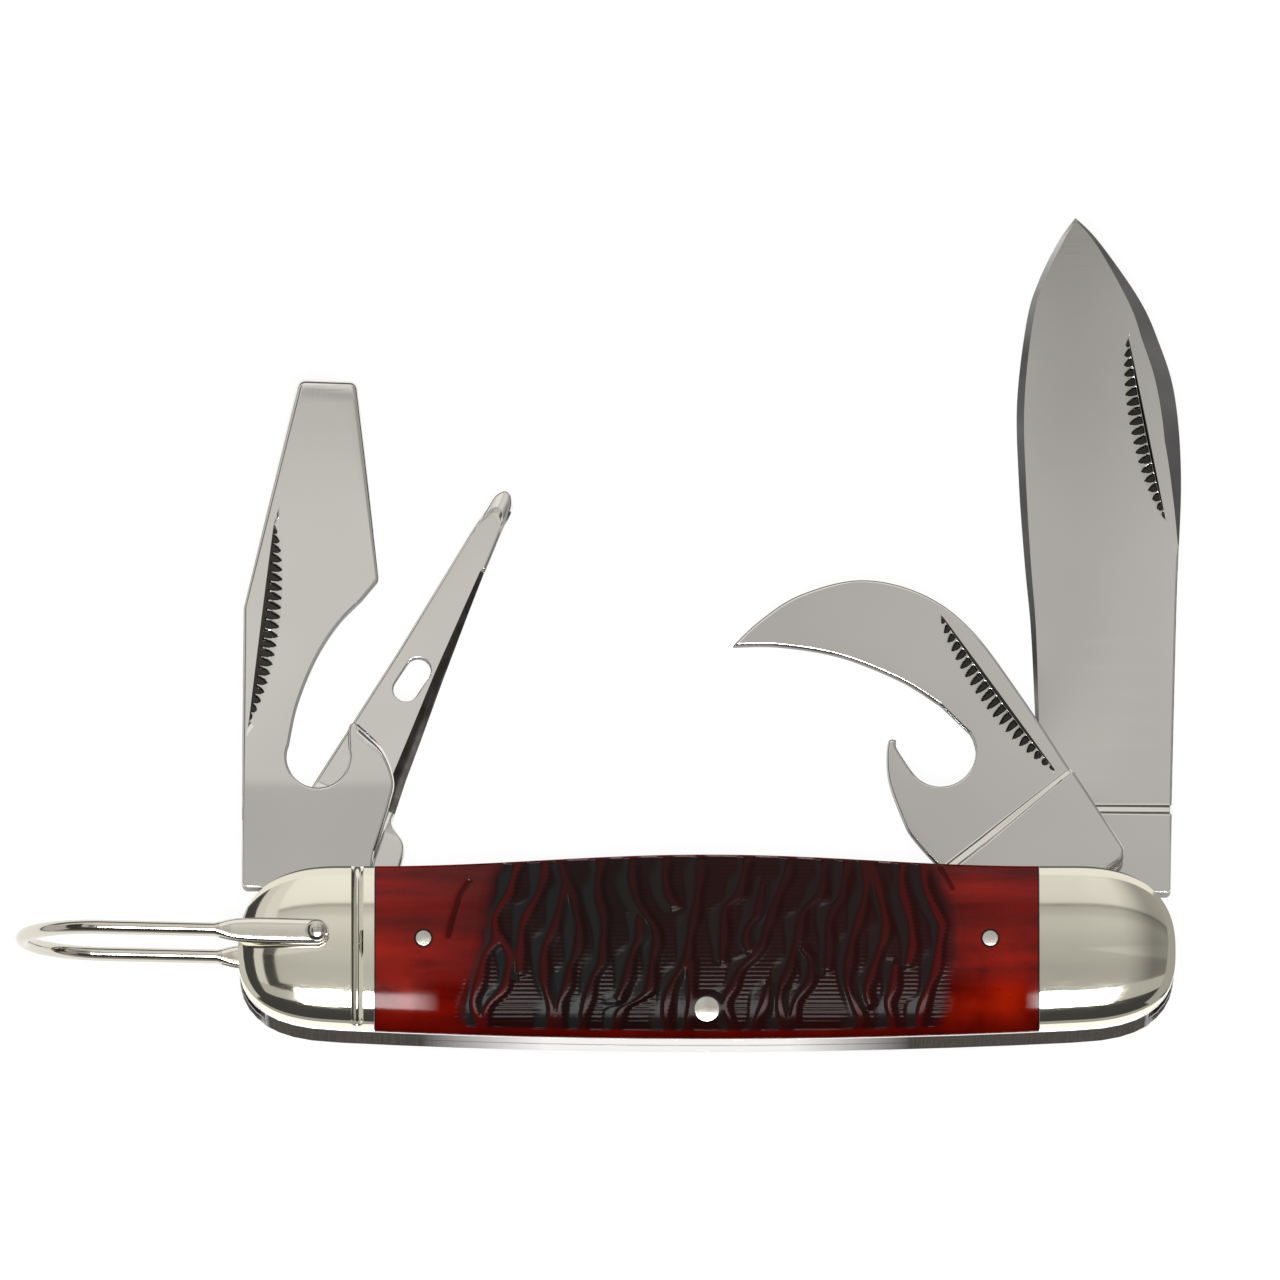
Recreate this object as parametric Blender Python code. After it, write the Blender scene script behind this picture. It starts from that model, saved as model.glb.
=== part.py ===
"""Four-blade camp pocket knife with a wire bail, lying on its rear side with its blades half open.

Metres, +Z up. X runs along the handle, +Y is the side the blades come out of, and Z runs through the
thickness. The origin is midway between the two blade pivots, on the rear scale's outer face.
"""

import math

import bmesh
import bpy

# Handle outline, seen from the front
HANDLE_LENGTH = 0.0920
PIVOT_INSET = 0.0077
BOLSTER_LENGTH = 0.0134
TOP_MIDDLE = 0.0080
TOP_BOLSTER = 0.00684
BACK_MIDDLE = 0.0100
BACK_BOLSTER = 0.00925
NOSE_LENGTH = 0.0100
NOSE_DROP = 0.0015
NOSE_POWER_TOP = 2.4
NOSE_POWER_BACK = 2.8

# Layers through the thickness
COVER_THICKNESS = 0.0032
COVER_WALL = 0.0010
SHOULDER_WIDTH = 0.0036
LINER_THICKNESS = 0.0005
SLOT_WIDTH = 0.0030
LAYER_GAP = 0.00003
JOINT_GAP = 0.00005

# Bolster decoration: one flute across each left bolster
FLUTE_INSET = 0.0017
FLUTE_WIDTH = 0.0010
FLUTE_DEPTH = 0.0003

# Pins and rivets
PIVOT_RADIUS = 0.0010
PIVOT_BURY = 0.0022
RUNNING_CLEARANCE = 0.00008
SPRING_RIVET_RADIUS = 0.0012
SPRING_RIVET_DROP = 0.0075
SCALE_PIN_RADIUS = 0.00075
SCALE_PIN_INSET = 0.0048
SCALE_PIN_DROP = 0.0005

# Tangs and back springs
TANG_RADIUS = 0.0050
TANG_STEP = 0.0053
SPINE_OFFSET = 0.0074
TANG_CORNER = 0.0005
SIDE_CLEARANCE = 0.00005
BYPASS_GAP = 0.0003
SPRING_CLEARANCE = 0.00015
SPRING_END_CLEARANCE = 0.0002
SPRING_THICKNESS = 0.0026
SPRING_PAD_LENGTH = 0.0050
SPRING_RAMP = 0.0040
SPRING_BOSS_WALL = 0.0006
SPRING_BOSS_LENGTH = 0.0080

# Main blade, in its own frame: origin at the pivot, +Y to the tip, +X towards the spine
MAIN_LEAN = 0.0
MAIN_SPINE = ((0.00754, 0.0149), (0.0081, 0.0348), (0.0086, 0.0471), (0.0080, 0.0556),
              (0.0064, 0.0611), (0.00445, 0.0654), (0.0005, 0.0711), (-0.00177, 0.07345))
MAIN_EDGE = ((-0.00344, 0.0711), (-0.00541, 0.0671), (-0.0066, 0.0631), (-0.00758, 0.0550),
             (-0.00744, 0.0471), (-0.00689, 0.0389), (-0.0063, 0.0323), (-0.0059, 0.0238),
             (-0.0056, 0.0165))
MAIN_CREASE = 0.0140
MAIN_EDGE_THICKNESS = 0.0003
MAIN_NICK = ((0.0034, 0.0614), (0.0069, 0.0434), 0.0020)

# Can opener, in the same kind of frame
CAN_LEAN = 34.2
CAN_SPINE = ((0.0076, 0.0159), (0.0078, 0.0245), (0.00745, 0.0329), (0.0054, 0.0386),
             (0.00124, 0.0430), (-0.00450, 0.0451), (-0.0092, 0.0452), (-0.01285, 0.0446))
CAN_HOOK = ((-0.00903, 0.0420), (-0.00468, 0.0378), (-0.00114, 0.0325), (0.00072, 0.0282))
CAN_NOTCH_CENTRE = (-0.00193, 0.02435)
CAN_NOTCH_RADIUS = 0.00343
CAN_THUMB = ((-0.00493, 0.0278), (-0.0058, 0.0279), (-0.0077, 0.0250), (-0.0088, 0.0209),
             (-0.0090, 0.0186), (-0.0083, 0.0140), (-0.0066, 0.0090))
CAN_CREASE = 0.0148
CAN_NICK = ((0.0058, 0.0350), (0.0063, 0.0172), 0.0020)

# Cap lifter and screwdriver, in the same kind of frame
CAP_LEAN = 0.0
CAP_SPINE = ((0.0073, 0.0332), (0.00197, 0.0560))
CAP_TIP = ((-0.00385, 0.0558), (-0.0060, 0.0360))
CAP_THROAT = ((-0.00434, 0.0340), (-0.00197, 0.0315), (0.0002, 0.0280), (0.00197, 0.0235))
CAP_NOTCH_CENTRE = (-0.00005, 0.0183)
CAP_NOTCH_RADIUS = 0.0031
CAP_NOTCH_ARC = (22.0, -192.0)
CAP_HOOK = ((-0.00316, 0.02156), (-0.00394, 0.02176), (-0.00631, 0.01925), (-0.0075, 0.01615),
            (-0.0072, 0.0139), (-0.0056, 0.0089))
CAP_CREASE = 0.0120
CAP_NICK = ((0.0043, 0.0415), (0.0067, 0.0216), 0.0010)
CAP_DRIVER_LENGTH = 0.0009
CAP_DRIVER_DEPTH = 0.0004

# Punch, in the same kind of frame
PUNCH_LEAN = -22.0
PUNCH_SPINE = ((0.0065, 0.0148), (0.00094, 0.0476))
PUNCH_TIP_RADIUS = 0.0010
PUNCH_TIP = (0.0, 0.0483)
PUNCH_TIP_ARC = (10.0, 170.0)
PUNCH_EDGE = ((-0.00103, 0.0466), (-0.0012, 0.0358), (-0.0014, 0.0294), (-0.00166, 0.0230),
              (-0.0018, 0.0187), (-0.0021, 0.0143), (-0.0041, 0.0126), (-0.0046, 0.0103))
PUNCH_EYE_CENTRE = (0.0014, 0.0282)
PUNCH_EYE_LENGTH = 0.0047
PUNCH_EYE_WIDTH = 0.0025
PUNCH_EYE_TURN = 11.0

# Nail nicks
NICK_DEPTH = 0.00035

# Wire bail
BAIL_REACH = 0.0297
BAIL_WIRE_RADIUS = 0.0007
BAIL_FACE_GAP = 0.0001
BAIL_LEAN = -1.3
EAR_LENGTH = 0.0100
EAR_TAPER = 0.0060
EAR_RADIUS = 0.00122
EAR_THICKNESS = 0.0012
EAR_SQUARENESS = 4.0
WIRE_SQUARENESS = 2.0
BAIL_PIN_RADIUS = 0.0007
BAIL_HEAD_RADIUS = 0.00115
BAIL_HEAD_HEIGHT = 0.0006
BAIL_HEAD_GAP = 0.0001
EAR_END_ANGLES = (78.0, 60.0, 40.0, 20.0)
HEAD_DOME_ANGLES = (30.0, 60.0)

# Fineness of the faceted curves
NOSE_STEPS = 9
SIDE_STEPS = 12
SHOULDER_STEPS = 6
ROUND_STEPS = 24
CURVE_STEPS = 4
HOOK_STEPS = 2
WIRE_SIDES = 12
BEND_STEPS = 14

# How far a cutter runs past what it cuts
OVERSHOOT = 0.0010
FAR = 0.1000

SHARP_ANGLE = math.radians(35.0)

HALF_LENGTH = HANDLE_LENGTH / 2.0
PIVOT_X = HALF_LENGTH - PIVOT_INSET
JOINT_X = HALF_LENGTH - BOLSTER_LENGTH
NOSE_X = HALF_LENGTH - NOSE_LENGTH


def layer_heights():
    """The lowest and highest Z of each layer, from the rear cover to the front cover."""
    thicknesses = (
        ("rear_cover", COVER_THICKNESS),
        ("rear_liner", LINER_THICKNESS),
        ("rear_slot", SLOT_WIDTH),
        ("centre_liner", LINER_THICKNESS),
        ("front_slot", SLOT_WIDTH),
        ("front_liner", LINER_THICKNESS),
        ("front_cover", COVER_THICKNESS),
    )
    heights = {}
    z = 0.0
    for name, thickness in thicknesses:
        heights[name] = (z, z + thickness)
        z += thickness + LAYER_GAP
    return heights


LAYERS = layer_heights()
STACK_TOP = LAYERS["front_cover"][1]
STACK_MIDDLE = STACK_TOP / 2.0


# Plane curves


def arc(centre, radius, start, end, steps):
    """Points on a circle from one angle to another, in degrees."""
    points = []
    for i in range(steps + 1):
        angle = math.radians(start + (end - start) * i / steps)
        points.append((centre[0] + radius * math.cos(angle), centre[1] + radius * math.sin(angle)))
    return points


def circle(centre, radius):
    """Corners of a closed round, none of them straight above or beside the centre."""
    half_step = 180.0 / ROUND_STEPS
    return arc(centre, radius, half_step, 360.0 + half_step, ROUND_STEPS)[:-1]


def smooth(points, steps=CURVE_STEPS):
    """A smooth open curve through the points."""
    ends = [points[0], *points, points[-1]]
    curve = []
    for a, b, c, d in zip(ends, ends[1:], ends[2:], ends[3:]):
        for i in range(steps):
            t = i / steps
            curve.append(tuple(
                b[k] + 0.5 * t * (c[k] - a[k] + t * (2 * a[k] - 5 * b[k] + 4 * c[k] - d[k]
                                                     + t * (3 * (b[k] - c[k]) + d[k] - a[k])))
                for k in (0, 1)))
    curve.append(points[-1])
    return curve


def handle_top(x):
    """Height of the handle's top edge, before the noses close it."""
    share = min(abs(x) / JOINT_X, 1.0)
    return TOP_BOLSTER + (TOP_MIDDLE - TOP_BOLSTER) * (1.0 + math.cos(math.pi * share)) / 2.0


def handle_back(x):
    """Height of the handle's back edge, before the noses close it."""
    return -BACK_MIDDLE + (BACK_MIDDLE - BACK_BOLSTER) * (x / JOINT_X) ** 2


def nose_point(angle):
    """A point of the right-hand nose: 90 degrees is its top, 0 its tip and -90 its back."""
    power = NOSE_POWER_TOP if angle > 0 else NOSE_POWER_BACK
    along = abs(math.cos(math.radians(angle))) ** (2.0 / power)
    across = abs(math.sin(math.radians(angle))) ** (2.0 / power)
    x = NOSE_X + NOSE_LENGTH * along
    limit = handle_top(x) if angle > 0 else handle_back(x)
    return x, -NOSE_DROP + (limit + NOSE_DROP) * across


def nose_outline():
    """The right-hand bolster's free edge, from the joint over the nose and back to the joint."""
    points = [(JOINT_X + JOINT_GAP, handle_top(JOINT_X))]
    points += [nose_point(90.0 - 90.0 * i / NOSE_STEPS) for i in range(2 * NOSE_STEPS + 1)]
    points.append((JOINT_X + JOINT_GAP, handle_back(JOINT_X)))
    return points


def handle_outline():
    """The whole handle, clockwise from the left end of the top edge."""
    right = nose_outline()[1:-1]
    spread = [NOSE_X * (2.0 * i / SIDE_STEPS - 1.0) for i in range(1, SIDE_STEPS)]
    top = [(x, handle_top(x)) for x in spread]
    back = [(-x, handle_back(x)) for x in spread]
    left = [(-x, y) for x, y in reversed(right)]
    return top + right + back + left


def shoulder():
    """The cover's edge as pairs of inset and height above the liner."""
    steps = [(0.0, 0.0)]
    for i in range(SHOULDER_STEPS + 1):
        angle = math.pi / 2.0 * i / SHOULDER_STEPS
        rise = (COVER_THICKNESS - COVER_WALL) * math.sin(angle)
        steps.append((SHOULDER_WIDTH * (1.0 - math.cos(angle)), COVER_WALL + rise))
    return steps


def cover_height(x, y):
    """Height of a scale's outer face above the liner."""
    inset = min(handle_top(x) - y, y - handle_back(x), SHOULDER_WIDTH)
    rise = math.sqrt(1.0 - (1.0 - inset / SHOULDER_WIDTH) ** 2)
    return COVER_WALL + (COVER_THICKNESS - COVER_WALL) * rise


def inset_outline(points, amount):
    """An open outline moved to its right by the amount; its two ends keep their X."""
    moved = []
    last = len(points) - 1
    for i, (x, y) in enumerate(points):
        ahead = points[min(i + 1, last)]
        behind = points[max(i - 1, 0)]
        dx = ahead[0] - behind[0]
        dy = ahead[1] - behind[1] if 0 < i < last else 0.0
        length = math.hypot(dx, dy)
        moved.append((x + amount * dy / length, y - amount * dx / length))
    return moved


# Solids


def material(name, colour, roughness, metallic):
    made = bpy.data.materials.new(name)
    made.use_nodes = True
    shader = made.node_tree.nodes["Principled BSDF"]
    shader.inputs["Base Color"].default_value = (*colour, 1.0)
    shader.inputs["Roughness"].default_value = roughness
    shader.inputs["Metallic"].default_value = metallic
    return made


def add_object(name, bm, finish=None, pivot_x=0.0, turn=0.0):
    """A mesh object from a bmesh, with its origin on the axis that it turns about."""
    bmesh.ops.recalc_face_normals(bm, faces=bm.faces)
    mesh = bpy.data.meshes.new(name)
    bm.to_mesh(mesh)
    bm.free()
    mesh.shade_smooth()
    mesh.set_sharp_from_angle(angle=SHARP_ANGLE)
    made = bpy.data.objects.new(name, mesh)
    made.location.x = pivot_x
    made.rotation_euler.z = math.radians(turn)
    if finish:
        mesh.materials.append(finish)
    bpy.context.scene.collection.objects.link(made)
    return made


def add_cutter(name, bm, parent=None):
    """A helper shape that is left out of the model, placed in its parent's frame."""
    made = add_object(name, bm)
    made.parent = parent
    made.hide_render = True
    made.display_type = "WIRE"
    return made


def cut(target, cutter):
    modifier = target.modifiers.new("cut_" + cutter.name, "BOOLEAN")
    modifier.operation = "DIFFERENCE"
    modifier.solver = "EXACT"
    modifier.object = cutter


def lofted(sections, closed_ends=True):
    """A bmesh skinned over sections with the same number of points each."""
    bm = bmesh.new()
    rings = [[bm.verts.new(point) for point in section] for section in sections]
    count = len(rings[0])
    for low, high in zip(rings, rings[1:]):
        for i in range(count):
            j = (i + 1) % count
            bm.faces.new((low[i], low[j], high[j], high[i]))
    if closed_ends:
        bm.faces.new(rings[0])
        bm.faces.new(rings[-1])
    return bm


def prism(outline, low, high):
    """A plane outline in X and Y, made solid between two heights."""
    return lofted([[(x, y, z) for x, y in outline] for z in (low, high)])


def bar(profile, low, high):
    """A profile in X and Z, made solid between two values of Y."""
    return lofted([[(x, y, z) for x, z in profile] for y in (low, high)])


def plate(profile, low, high):
    """A profile in Y and Z, made solid between two values of X."""
    return lofted([[(x, y, z) for y, z in profile] for x in (low, high)])


def rod(x, y, radius, low, high):
    return prism(circle((x, y), radius), low, high)


def turned(profile):
    """A profile of radius and Z turned about the Z axis; its first and last points are on the axis."""
    bm = bmesh.new()
    ends = [bm.verts.new((0.0, 0.0, profile[0][1])), bm.verts.new((0.0, 0.0, profile[-1][1]))]
    rings = []
    for radius, z in profile[1:-1]:
        rings.append([bm.verts.new((x, y, z)) for x, y in circle((0.0, 0.0), radius)])
    for i in range(ROUND_STEPS):
        j = (i + 1) % ROUND_STEPS
        bm.faces.new((ends[0], rings[0][i], rings[0][j]))
        bm.faces.new((ends[1], rings[-1][i], rings[-1][j]))
        for low, high in zip(rings, rings[1:]):
            bm.faces.new((low[i], low[j], high[j], high[i]))
    return bm


# Handle


def cover_z(side, height):
    """Z of a point at a height above its liner, on the front or the rear cover."""
    low, high = LAYERS[side + "_cover"]
    return low + height if side == "front" else high - height


def make_bolster(side, end, finish):
    """A crowned metal end cap; end is 1 on the right and -1 on the left."""
    outline = nose_outline()
    rings = [(inset_outline(outline, inset), height) for inset, height in shoulder()]
    bm = bmesh.new()
    loops = []
    for ring, height in rings:
        loops.append([bm.verts.new((end * x, y, cover_z(side, height))) for x, y in ring])
    for low, high in zip(loops, loops[1:]):
        for i in range(len(outline) - 1):
            bm.faces.new((low[i], low[i + 1], high[i + 1], high[i]))
    bm.faces.new(loops[0])
    bm.faces.new(loops[-1])
    bm.faces.new([loop[0] for loop in loops] + [loop[-1] for loop in reversed(loops)])
    return add_object(f"{side}_bolster_{'right' if end > 0 else 'left'}", bm, finish)


def crown_section(x):
    """A cover's section at x, as pairs of Y and height, from the back edge to the top edge."""
    edge = shoulder()
    rising = [(handle_back(x) + inset, height) for inset, height in edge]
    falling = [(handle_top(x) - inset, height) for inset, height in reversed(edge)]
    return rising + falling


def make_scale(side, finish):
    """A crowned bone slab between the bolsters."""
    sections = []
    for i in range(SIDE_STEPS + 1):
        x = JOINT_X * (2.0 * i / SIDE_STEPS - 1.0)
        sections.append([(x, y, cover_z(side, height)) for y, height in crown_section(x)])
    return add_object(side + "_scale", lofted(sections), finish)


def flute_cutter(side):
    """A thin arch that follows the crown of a left bolster, sunk by the flute's depth."""
    x = -(JOINT_X + FLUTE_INSET)
    inner = [(y, cover_z(side, height - FLUTE_DEPTH)) for y, height in crown_section(x)[1:-1]]
    far_z = cover_z(side, COVER_THICKNESS + OVERSHOOT)
    profile = [(inner[0][0], far_z), *inner, (inner[-1][0], far_z)]
    return add_cutter(side + "_flute", plate(profile, x - FLUTE_WIDTH / 2.0, x + FLUTE_WIDTH / 2.0))


def spring_outline():
    """A back spring: pads under both tangs, a thinner bow between and a boss at the rivet."""
    end = PIVOT_X + TANG_STEP - SPRING_END_CLEARANCE
    pad = -(TANG_RADIUS + SPRING_CLEARANCE)
    boss = -(SPRING_RIVET_DROP - SPRING_RIVET_RADIUS - SPRING_BOSS_WALL)
    bow = -BACK_MIDDLE + SPRING_THICKNESS
    pad_end = PIVOT_X - SPRING_PAD_LENGTH
    half_boss = SPRING_BOSS_LENGTH / 2.0
    half = [(half_boss / 2.0, boss), (half_boss, bow)]
    half += [(pad_end - SPRING_RAMP, bow), (pad_end, pad), (end, pad)]
    right = [point for point in nose_outline()[1:-1] if point[1] < -NOSE_DROP and point[0] < end]
    half += [(end, back_at(end)), *right]
    spread = [NOSE_X * (1.0 - i / SIDE_STEPS) for i in range(1, SIDE_STEPS)]
    half += [(x, handle_back(x)) for x in spread]
    return half + [(-x, y) for x, y in reversed(half)]


def back_at(x):
    """Height of the handle's back edge at x, on the straight part or on the nose."""
    if x <= NOSE_X:
        return handle_back(x)
    share = (x - NOSE_X) / NOSE_LENGTH
    across = (1.0 - share ** NOSE_POWER_BACK) ** (1.0 / NOSE_POWER_BACK)
    return -NOSE_DROP + (handle_back(x) + NOSE_DROP) * across


def make_plain_layer(name, layer, outline, finish):
    low, high = LAYERS[layer]
    return add_object(name, prism(outline, low, high), finish)


# Blades


def half_of_slot(slot, half):
    """The Z limits of a blade's body, which fills the front or the rear half of its slot."""
    low, high = LAYERS[slot]
    middle = (low + high) / 2.0
    if half == "front":
        return middle + BYPASS_GAP / 2.0, high - SIDE_CLEARANCE
    return low + SIDE_CLEARANCE, middle - BYPASS_GAP / 2.0


def tang_outline():
    """The round tang and the step behind it, up to the spine's corner."""
    tang = arc((0.0, 0.0), TANG_RADIUS, 180.0, 360.0, ROUND_STEPS // 2)
    corner = (SPINE_OFFSET - TANG_CORNER, TANG_STEP + TANG_CORNER)
    return tang + [(TANG_RADIUS, TANG_STEP)] + arc(corner, TANG_CORNER, -90.0, 0.0, CURVE_STEPS)


def make_blade(name, slot, pivot_x, lean, outline, finish):
    """A blade as thick as its slot. Spines face outwards, so blades on the left pivot are mirrored."""
    low, high = LAYERS[slot]
    side = math.copysign(1.0, pivot_x)
    shape = [(side * x, y) for x, y in outline]
    bm = prism(shape, low + SIDE_CLEARANCE, high - SIDE_CLEARANCE)
    return add_object(name, bm, finish, pivot_x, lean)


def relieve(blade, slot, half, start):
    """Takes away the half of the slot that the neighbouring blade closes into, from a crease outwards."""
    low, high = half_of_slot(slot, half)
    slot_low, slot_high = LAYERS[slot]
    z_range = (slot_low - OVERSHOOT, low) if half == "front" else (high, slot_high + OVERSHOOT)
    profile = [(start, z_range[0]), (FAR, z_range[0]), (FAR, z_range[1]), (start, z_range[1])]
    cut(blade, add_cutter(blade.name + "_relief", plate(profile, -FAR, FAR), blade))


def make_nick(blade, nick, side, top):
    """A shallow crescent for a fingernail: straight along the spine, bulging towards the edge."""
    (x0, y0), (x1, y1), bulge = nick
    length = math.hypot(x1 - x0, y1 - y0)
    across = ((y1 - y0) / length, (x0 - x1) / length)
    outline = []
    for i in range(2 * CURVE_STEPS + 1):
        t = i / (2 * CURVE_STEPS)
        swell = 4.0 * bulge * t * (1.0 - t)
        outline.append((side * (x0 + (x1 - x0) * t + across[0] * swell),
                        y0 + (y1 - y0) * t + across[1] * swell))
    cutter = prism(outline, top - NICK_DEPTH, top + OVERSHOOT)
    cut(blade, add_cutter(blade.name + "_nick", cutter, blade))


def make_main_blade(finish):
    outline = tang_outline() + smooth(MAIN_SPINE) + smooth(MAIN_EDGE) + [(-TANG_RADIUS, MAIN_CREASE)]
    blade = make_blade("main_blade", "rear_slot", PIVOT_X, MAIN_LEAN, outline, finish)
    relieve(blade, "rear_slot", "rear", MAIN_CREASE)
    low, high = half_of_slot("rear_slot", "rear")
    make_nick(blade, MAIN_NICK, 1.0, high)
    edge_x = min(x for x, y in MAIN_EDGE)
    slope = (high - low - MAIN_EDGE_THICKNESS) / 2.0 / (SPINE_OFFSET - edge_x)
    for name, z, sign in (("front", high, 1.0), ("rear", low, -1.0)):
        fall = sign * slope * (SPINE_OFFSET + FAR)
        out = z + sign * OVERSHOOT
        profile = [(SPINE_OFFSET, z), (-FAR, z - fall), (-FAR, out), (SPINE_OFFSET, out)]
        grind = bar(profile, MAIN_CREASE + OVERSHOOT, FAR)
        cut(blade, add_cutter("main_blade_grind_" + name, grind, blade))
    return blade


def make_can_opener(finish):
    notch = arc(CAN_NOTCH_CENTRE, CAN_NOTCH_RADIUS, 0.0, -180.0, ROUND_STEPS // 2)
    outline = tang_outline() + smooth(CAN_SPINE) + smooth(CAN_HOOK) + notch + smooth(CAN_THUMB, HOOK_STEPS)
    blade = make_blade("can_opener", "front_slot", PIVOT_X, CAN_LEAN, outline, finish)
    relieve(blade, "front_slot", "rear", CAN_CREASE)
    make_nick(blade, CAN_NICK, 1.0, half_of_slot("front_slot", "rear")[1])
    return blade


def make_cap_lifter(finish):
    notch = arc(CAP_NOTCH_CENTRE, CAP_NOTCH_RADIUS, *CAP_NOTCH_ARC, ROUND_STEPS // 2)
    outline = tang_outline() + list(CAP_SPINE) + list(CAP_TIP)
    outline += smooth(CAP_THROAT) + notch + smooth(CAP_HOOK, HOOK_STEPS)
    blade = make_blade("cap_lifter", "front_slot", -PIVOT_X, CAP_LEAN, outline, finish)
    relieve(blade, "front_slot", "front", CAP_CREASE)
    low, high = half_of_slot("front_slot", "front")
    make_nick(blade, CAP_NICK, -1.0, high)
    tip = max(y for x, y in CAP_SPINE)
    start = tip - CAP_DRIVER_LENGTH
    for name, z, sign in (("front", high, 1.0), ("rear", low, -1.0)):
        steep = sign * CAP_DRIVER_DEPTH / CAP_DRIVER_LENGTH
        out = z + sign * OVERSHOOT
        beyond = tip + OVERSHOOT
        profile = [(start, z), (beyond, z - steep * (beyond - start)), (beyond, out), (start, out)]
        cut(blade, add_cutter("cap_lifter_tip_" + name, plate(profile, -FAR, FAR), blade))
    return blade


def make_punch(finish):
    point = arc(PUNCH_TIP, PUNCH_TIP_RADIUS, *PUNCH_TIP_ARC, ROUND_STEPS // 3)
    outline = tang_outline() + list(PUNCH_SPINE) + point + list(PUNCH_EDGE)
    blade = make_blade("punch", "rear_slot", -PIVOT_X, PUNCH_LEAN, outline, finish)
    low = half_of_slot("rear_slot", "front")[0]
    slot_low = LAYERS["rear_slot"][0]
    disc = arc((0.0, 0.0), TANG_RADIUS + RUNNING_CLEARANCE, 180.0, 0.0, ROUND_STEPS // 2)
    around = disc + [(FAR, 0.0), (FAR, FAR), (-FAR, FAR), (-FAR, 0.0)]
    cut(blade, add_cutter("punch_relief", prism(around, slot_low - OVERSHOOT, low), blade))
    half_run = (PUNCH_EYE_LENGTH - PUNCH_EYE_WIDTH) / 2.0
    turn = math.radians(PUNCH_EYE_TURN)
    run = (half_run * math.sin(turn), half_run * math.cos(turn))
    eye = []
    for sign in (1.0, -1.0):
        centre = (-PUNCH_EYE_CENTRE[0] + sign * run[0], PUNCH_EYE_CENTRE[1] + sign * run[1])
        start = -PUNCH_EYE_TURN + (0.0 if sign > 0 else 180.0)
        eye += arc(centre, PUNCH_EYE_WIDTH / 2.0, start, start + 180.0, ROUND_STEPS // 2)
    slot_high = LAYERS["rear_slot"][1]
    cut(blade, add_cutter("punch_eye", prism(eye, slot_low - OVERSHOOT, slot_high + OVERSHOOT), blade))
    return blade


# Bail and pins


def ear_section(along):
    """Half the height, half the thickness and the squareness of the bail at a distance from the pin."""
    share = min(max((along - EAR_LENGTH + EAR_TAPER) / EAR_TAPER, 0.0), 1.0)
    height = EAR_RADIUS + (BAIL_WIRE_RADIUS - EAR_RADIUS) * share
    thickness = EAR_THICKNESS / 2.0 + (BAIL_WIRE_RADIUS - EAR_THICKNESS / 2.0) * share
    power = EAR_SQUARENESS + (WIRE_SQUARENESS - EAR_SQUARENESS) * share
    if along < 0.0:
        height = math.sqrt(max(EAR_RADIUS ** 2 - along ** 2, 0.0))
    return height, thickness, power


def bail_stations():
    """Points along the front leg and half the bend, with the outward direction in X and Z at each."""
    half_span = STACK_MIDDLE + BAIL_FACE_GAP + BAIL_WIRE_RADIUS
    bend_start = BAIL_REACH - BAIL_WIRE_RADIUS - half_span
    ear_end = [-EAR_RADIUS * math.sin(math.radians(angle)) for angle in EAR_END_ANGLES]
    straight = [0.0, EAR_LENGTH - EAR_TAPER, EAR_LENGTH - EAR_TAPER / 2.0, EAR_LENGTH]
    stations = [(along, half_span, (0.0, 1.0), along) for along in ear_end + straight]
    for i in range(BEND_STEPS + 1):
        angle = math.pi / 2.0 * i / BEND_STEPS
        outward = (math.sin(angle), math.cos(angle))
        x = bend_start + half_span * outward[0]
        stations.append((x, half_span * outward[1], outward, bend_start))
    return stations


def make_bail(finish):
    """A wire loop whose flattened ears turn on the left pivot pin."""
    front = bail_stations()
    rear = [(x, -z, (outward[0], -outward[1]), along) for x, z, outward, along in reversed(front[:-1])]
    sections = []
    for x, z, outward, along in front + rear:
        height, thickness, power = ear_section(along)
        section = []
        for i in range(WIRE_SIDES):
            angle = 2.0 * math.pi * (i + 0.5) / WIRE_SIDES
            c, s = math.cos(angle), math.sin(angle)
            up = height * math.copysign(abs(s) ** (2.0 / power), s)
            out = thickness * math.copysign(abs(c) ** (2.0 / power), c)
            section.append((-(x + out * outward[0]), up, STACK_MIDDLE + z + out * outward[1]))
        sections.append(section)
    return add_object("bail", lofted(sections), finish, -PIVOT_X, BAIL_LEAN)


def make_bail_pin(finish):
    """The left pivot: a shouldered pin whose domed ends hold the bail's ears."""
    half_span = STACK_MIDDLE + BAIL_FACE_GAP + BAIL_WIRE_RADIUS
    head = half_span + EAR_THICKNESS / 2.0 + BAIL_HEAD_GAP
    half = [(PIVOT_RADIUS, STACK_MIDDLE - BAIL_FACE_GAP), (BAIL_PIN_RADIUS, STACK_MIDDLE - BAIL_FACE_GAP),
            (BAIL_PIN_RADIUS, head), (BAIL_HEAD_RADIUS, head)]
    for angle in HEAD_DOME_ANGLES:
        half.append((BAIL_HEAD_RADIUS * math.cos(math.radians(angle)),
                     head + BAIL_HEAD_HEIGHT * math.sin(math.radians(angle))))
    half.append((0.0, head + BAIL_HEAD_HEIGHT))
    profile = [(r, STACK_MIDDLE - z) for r, z in reversed(half)] + [(r, STACK_MIDDLE + z) for r, z in half]
    return add_object("bail_pin", turned(profile), finish, -PIVOT_X)


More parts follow.
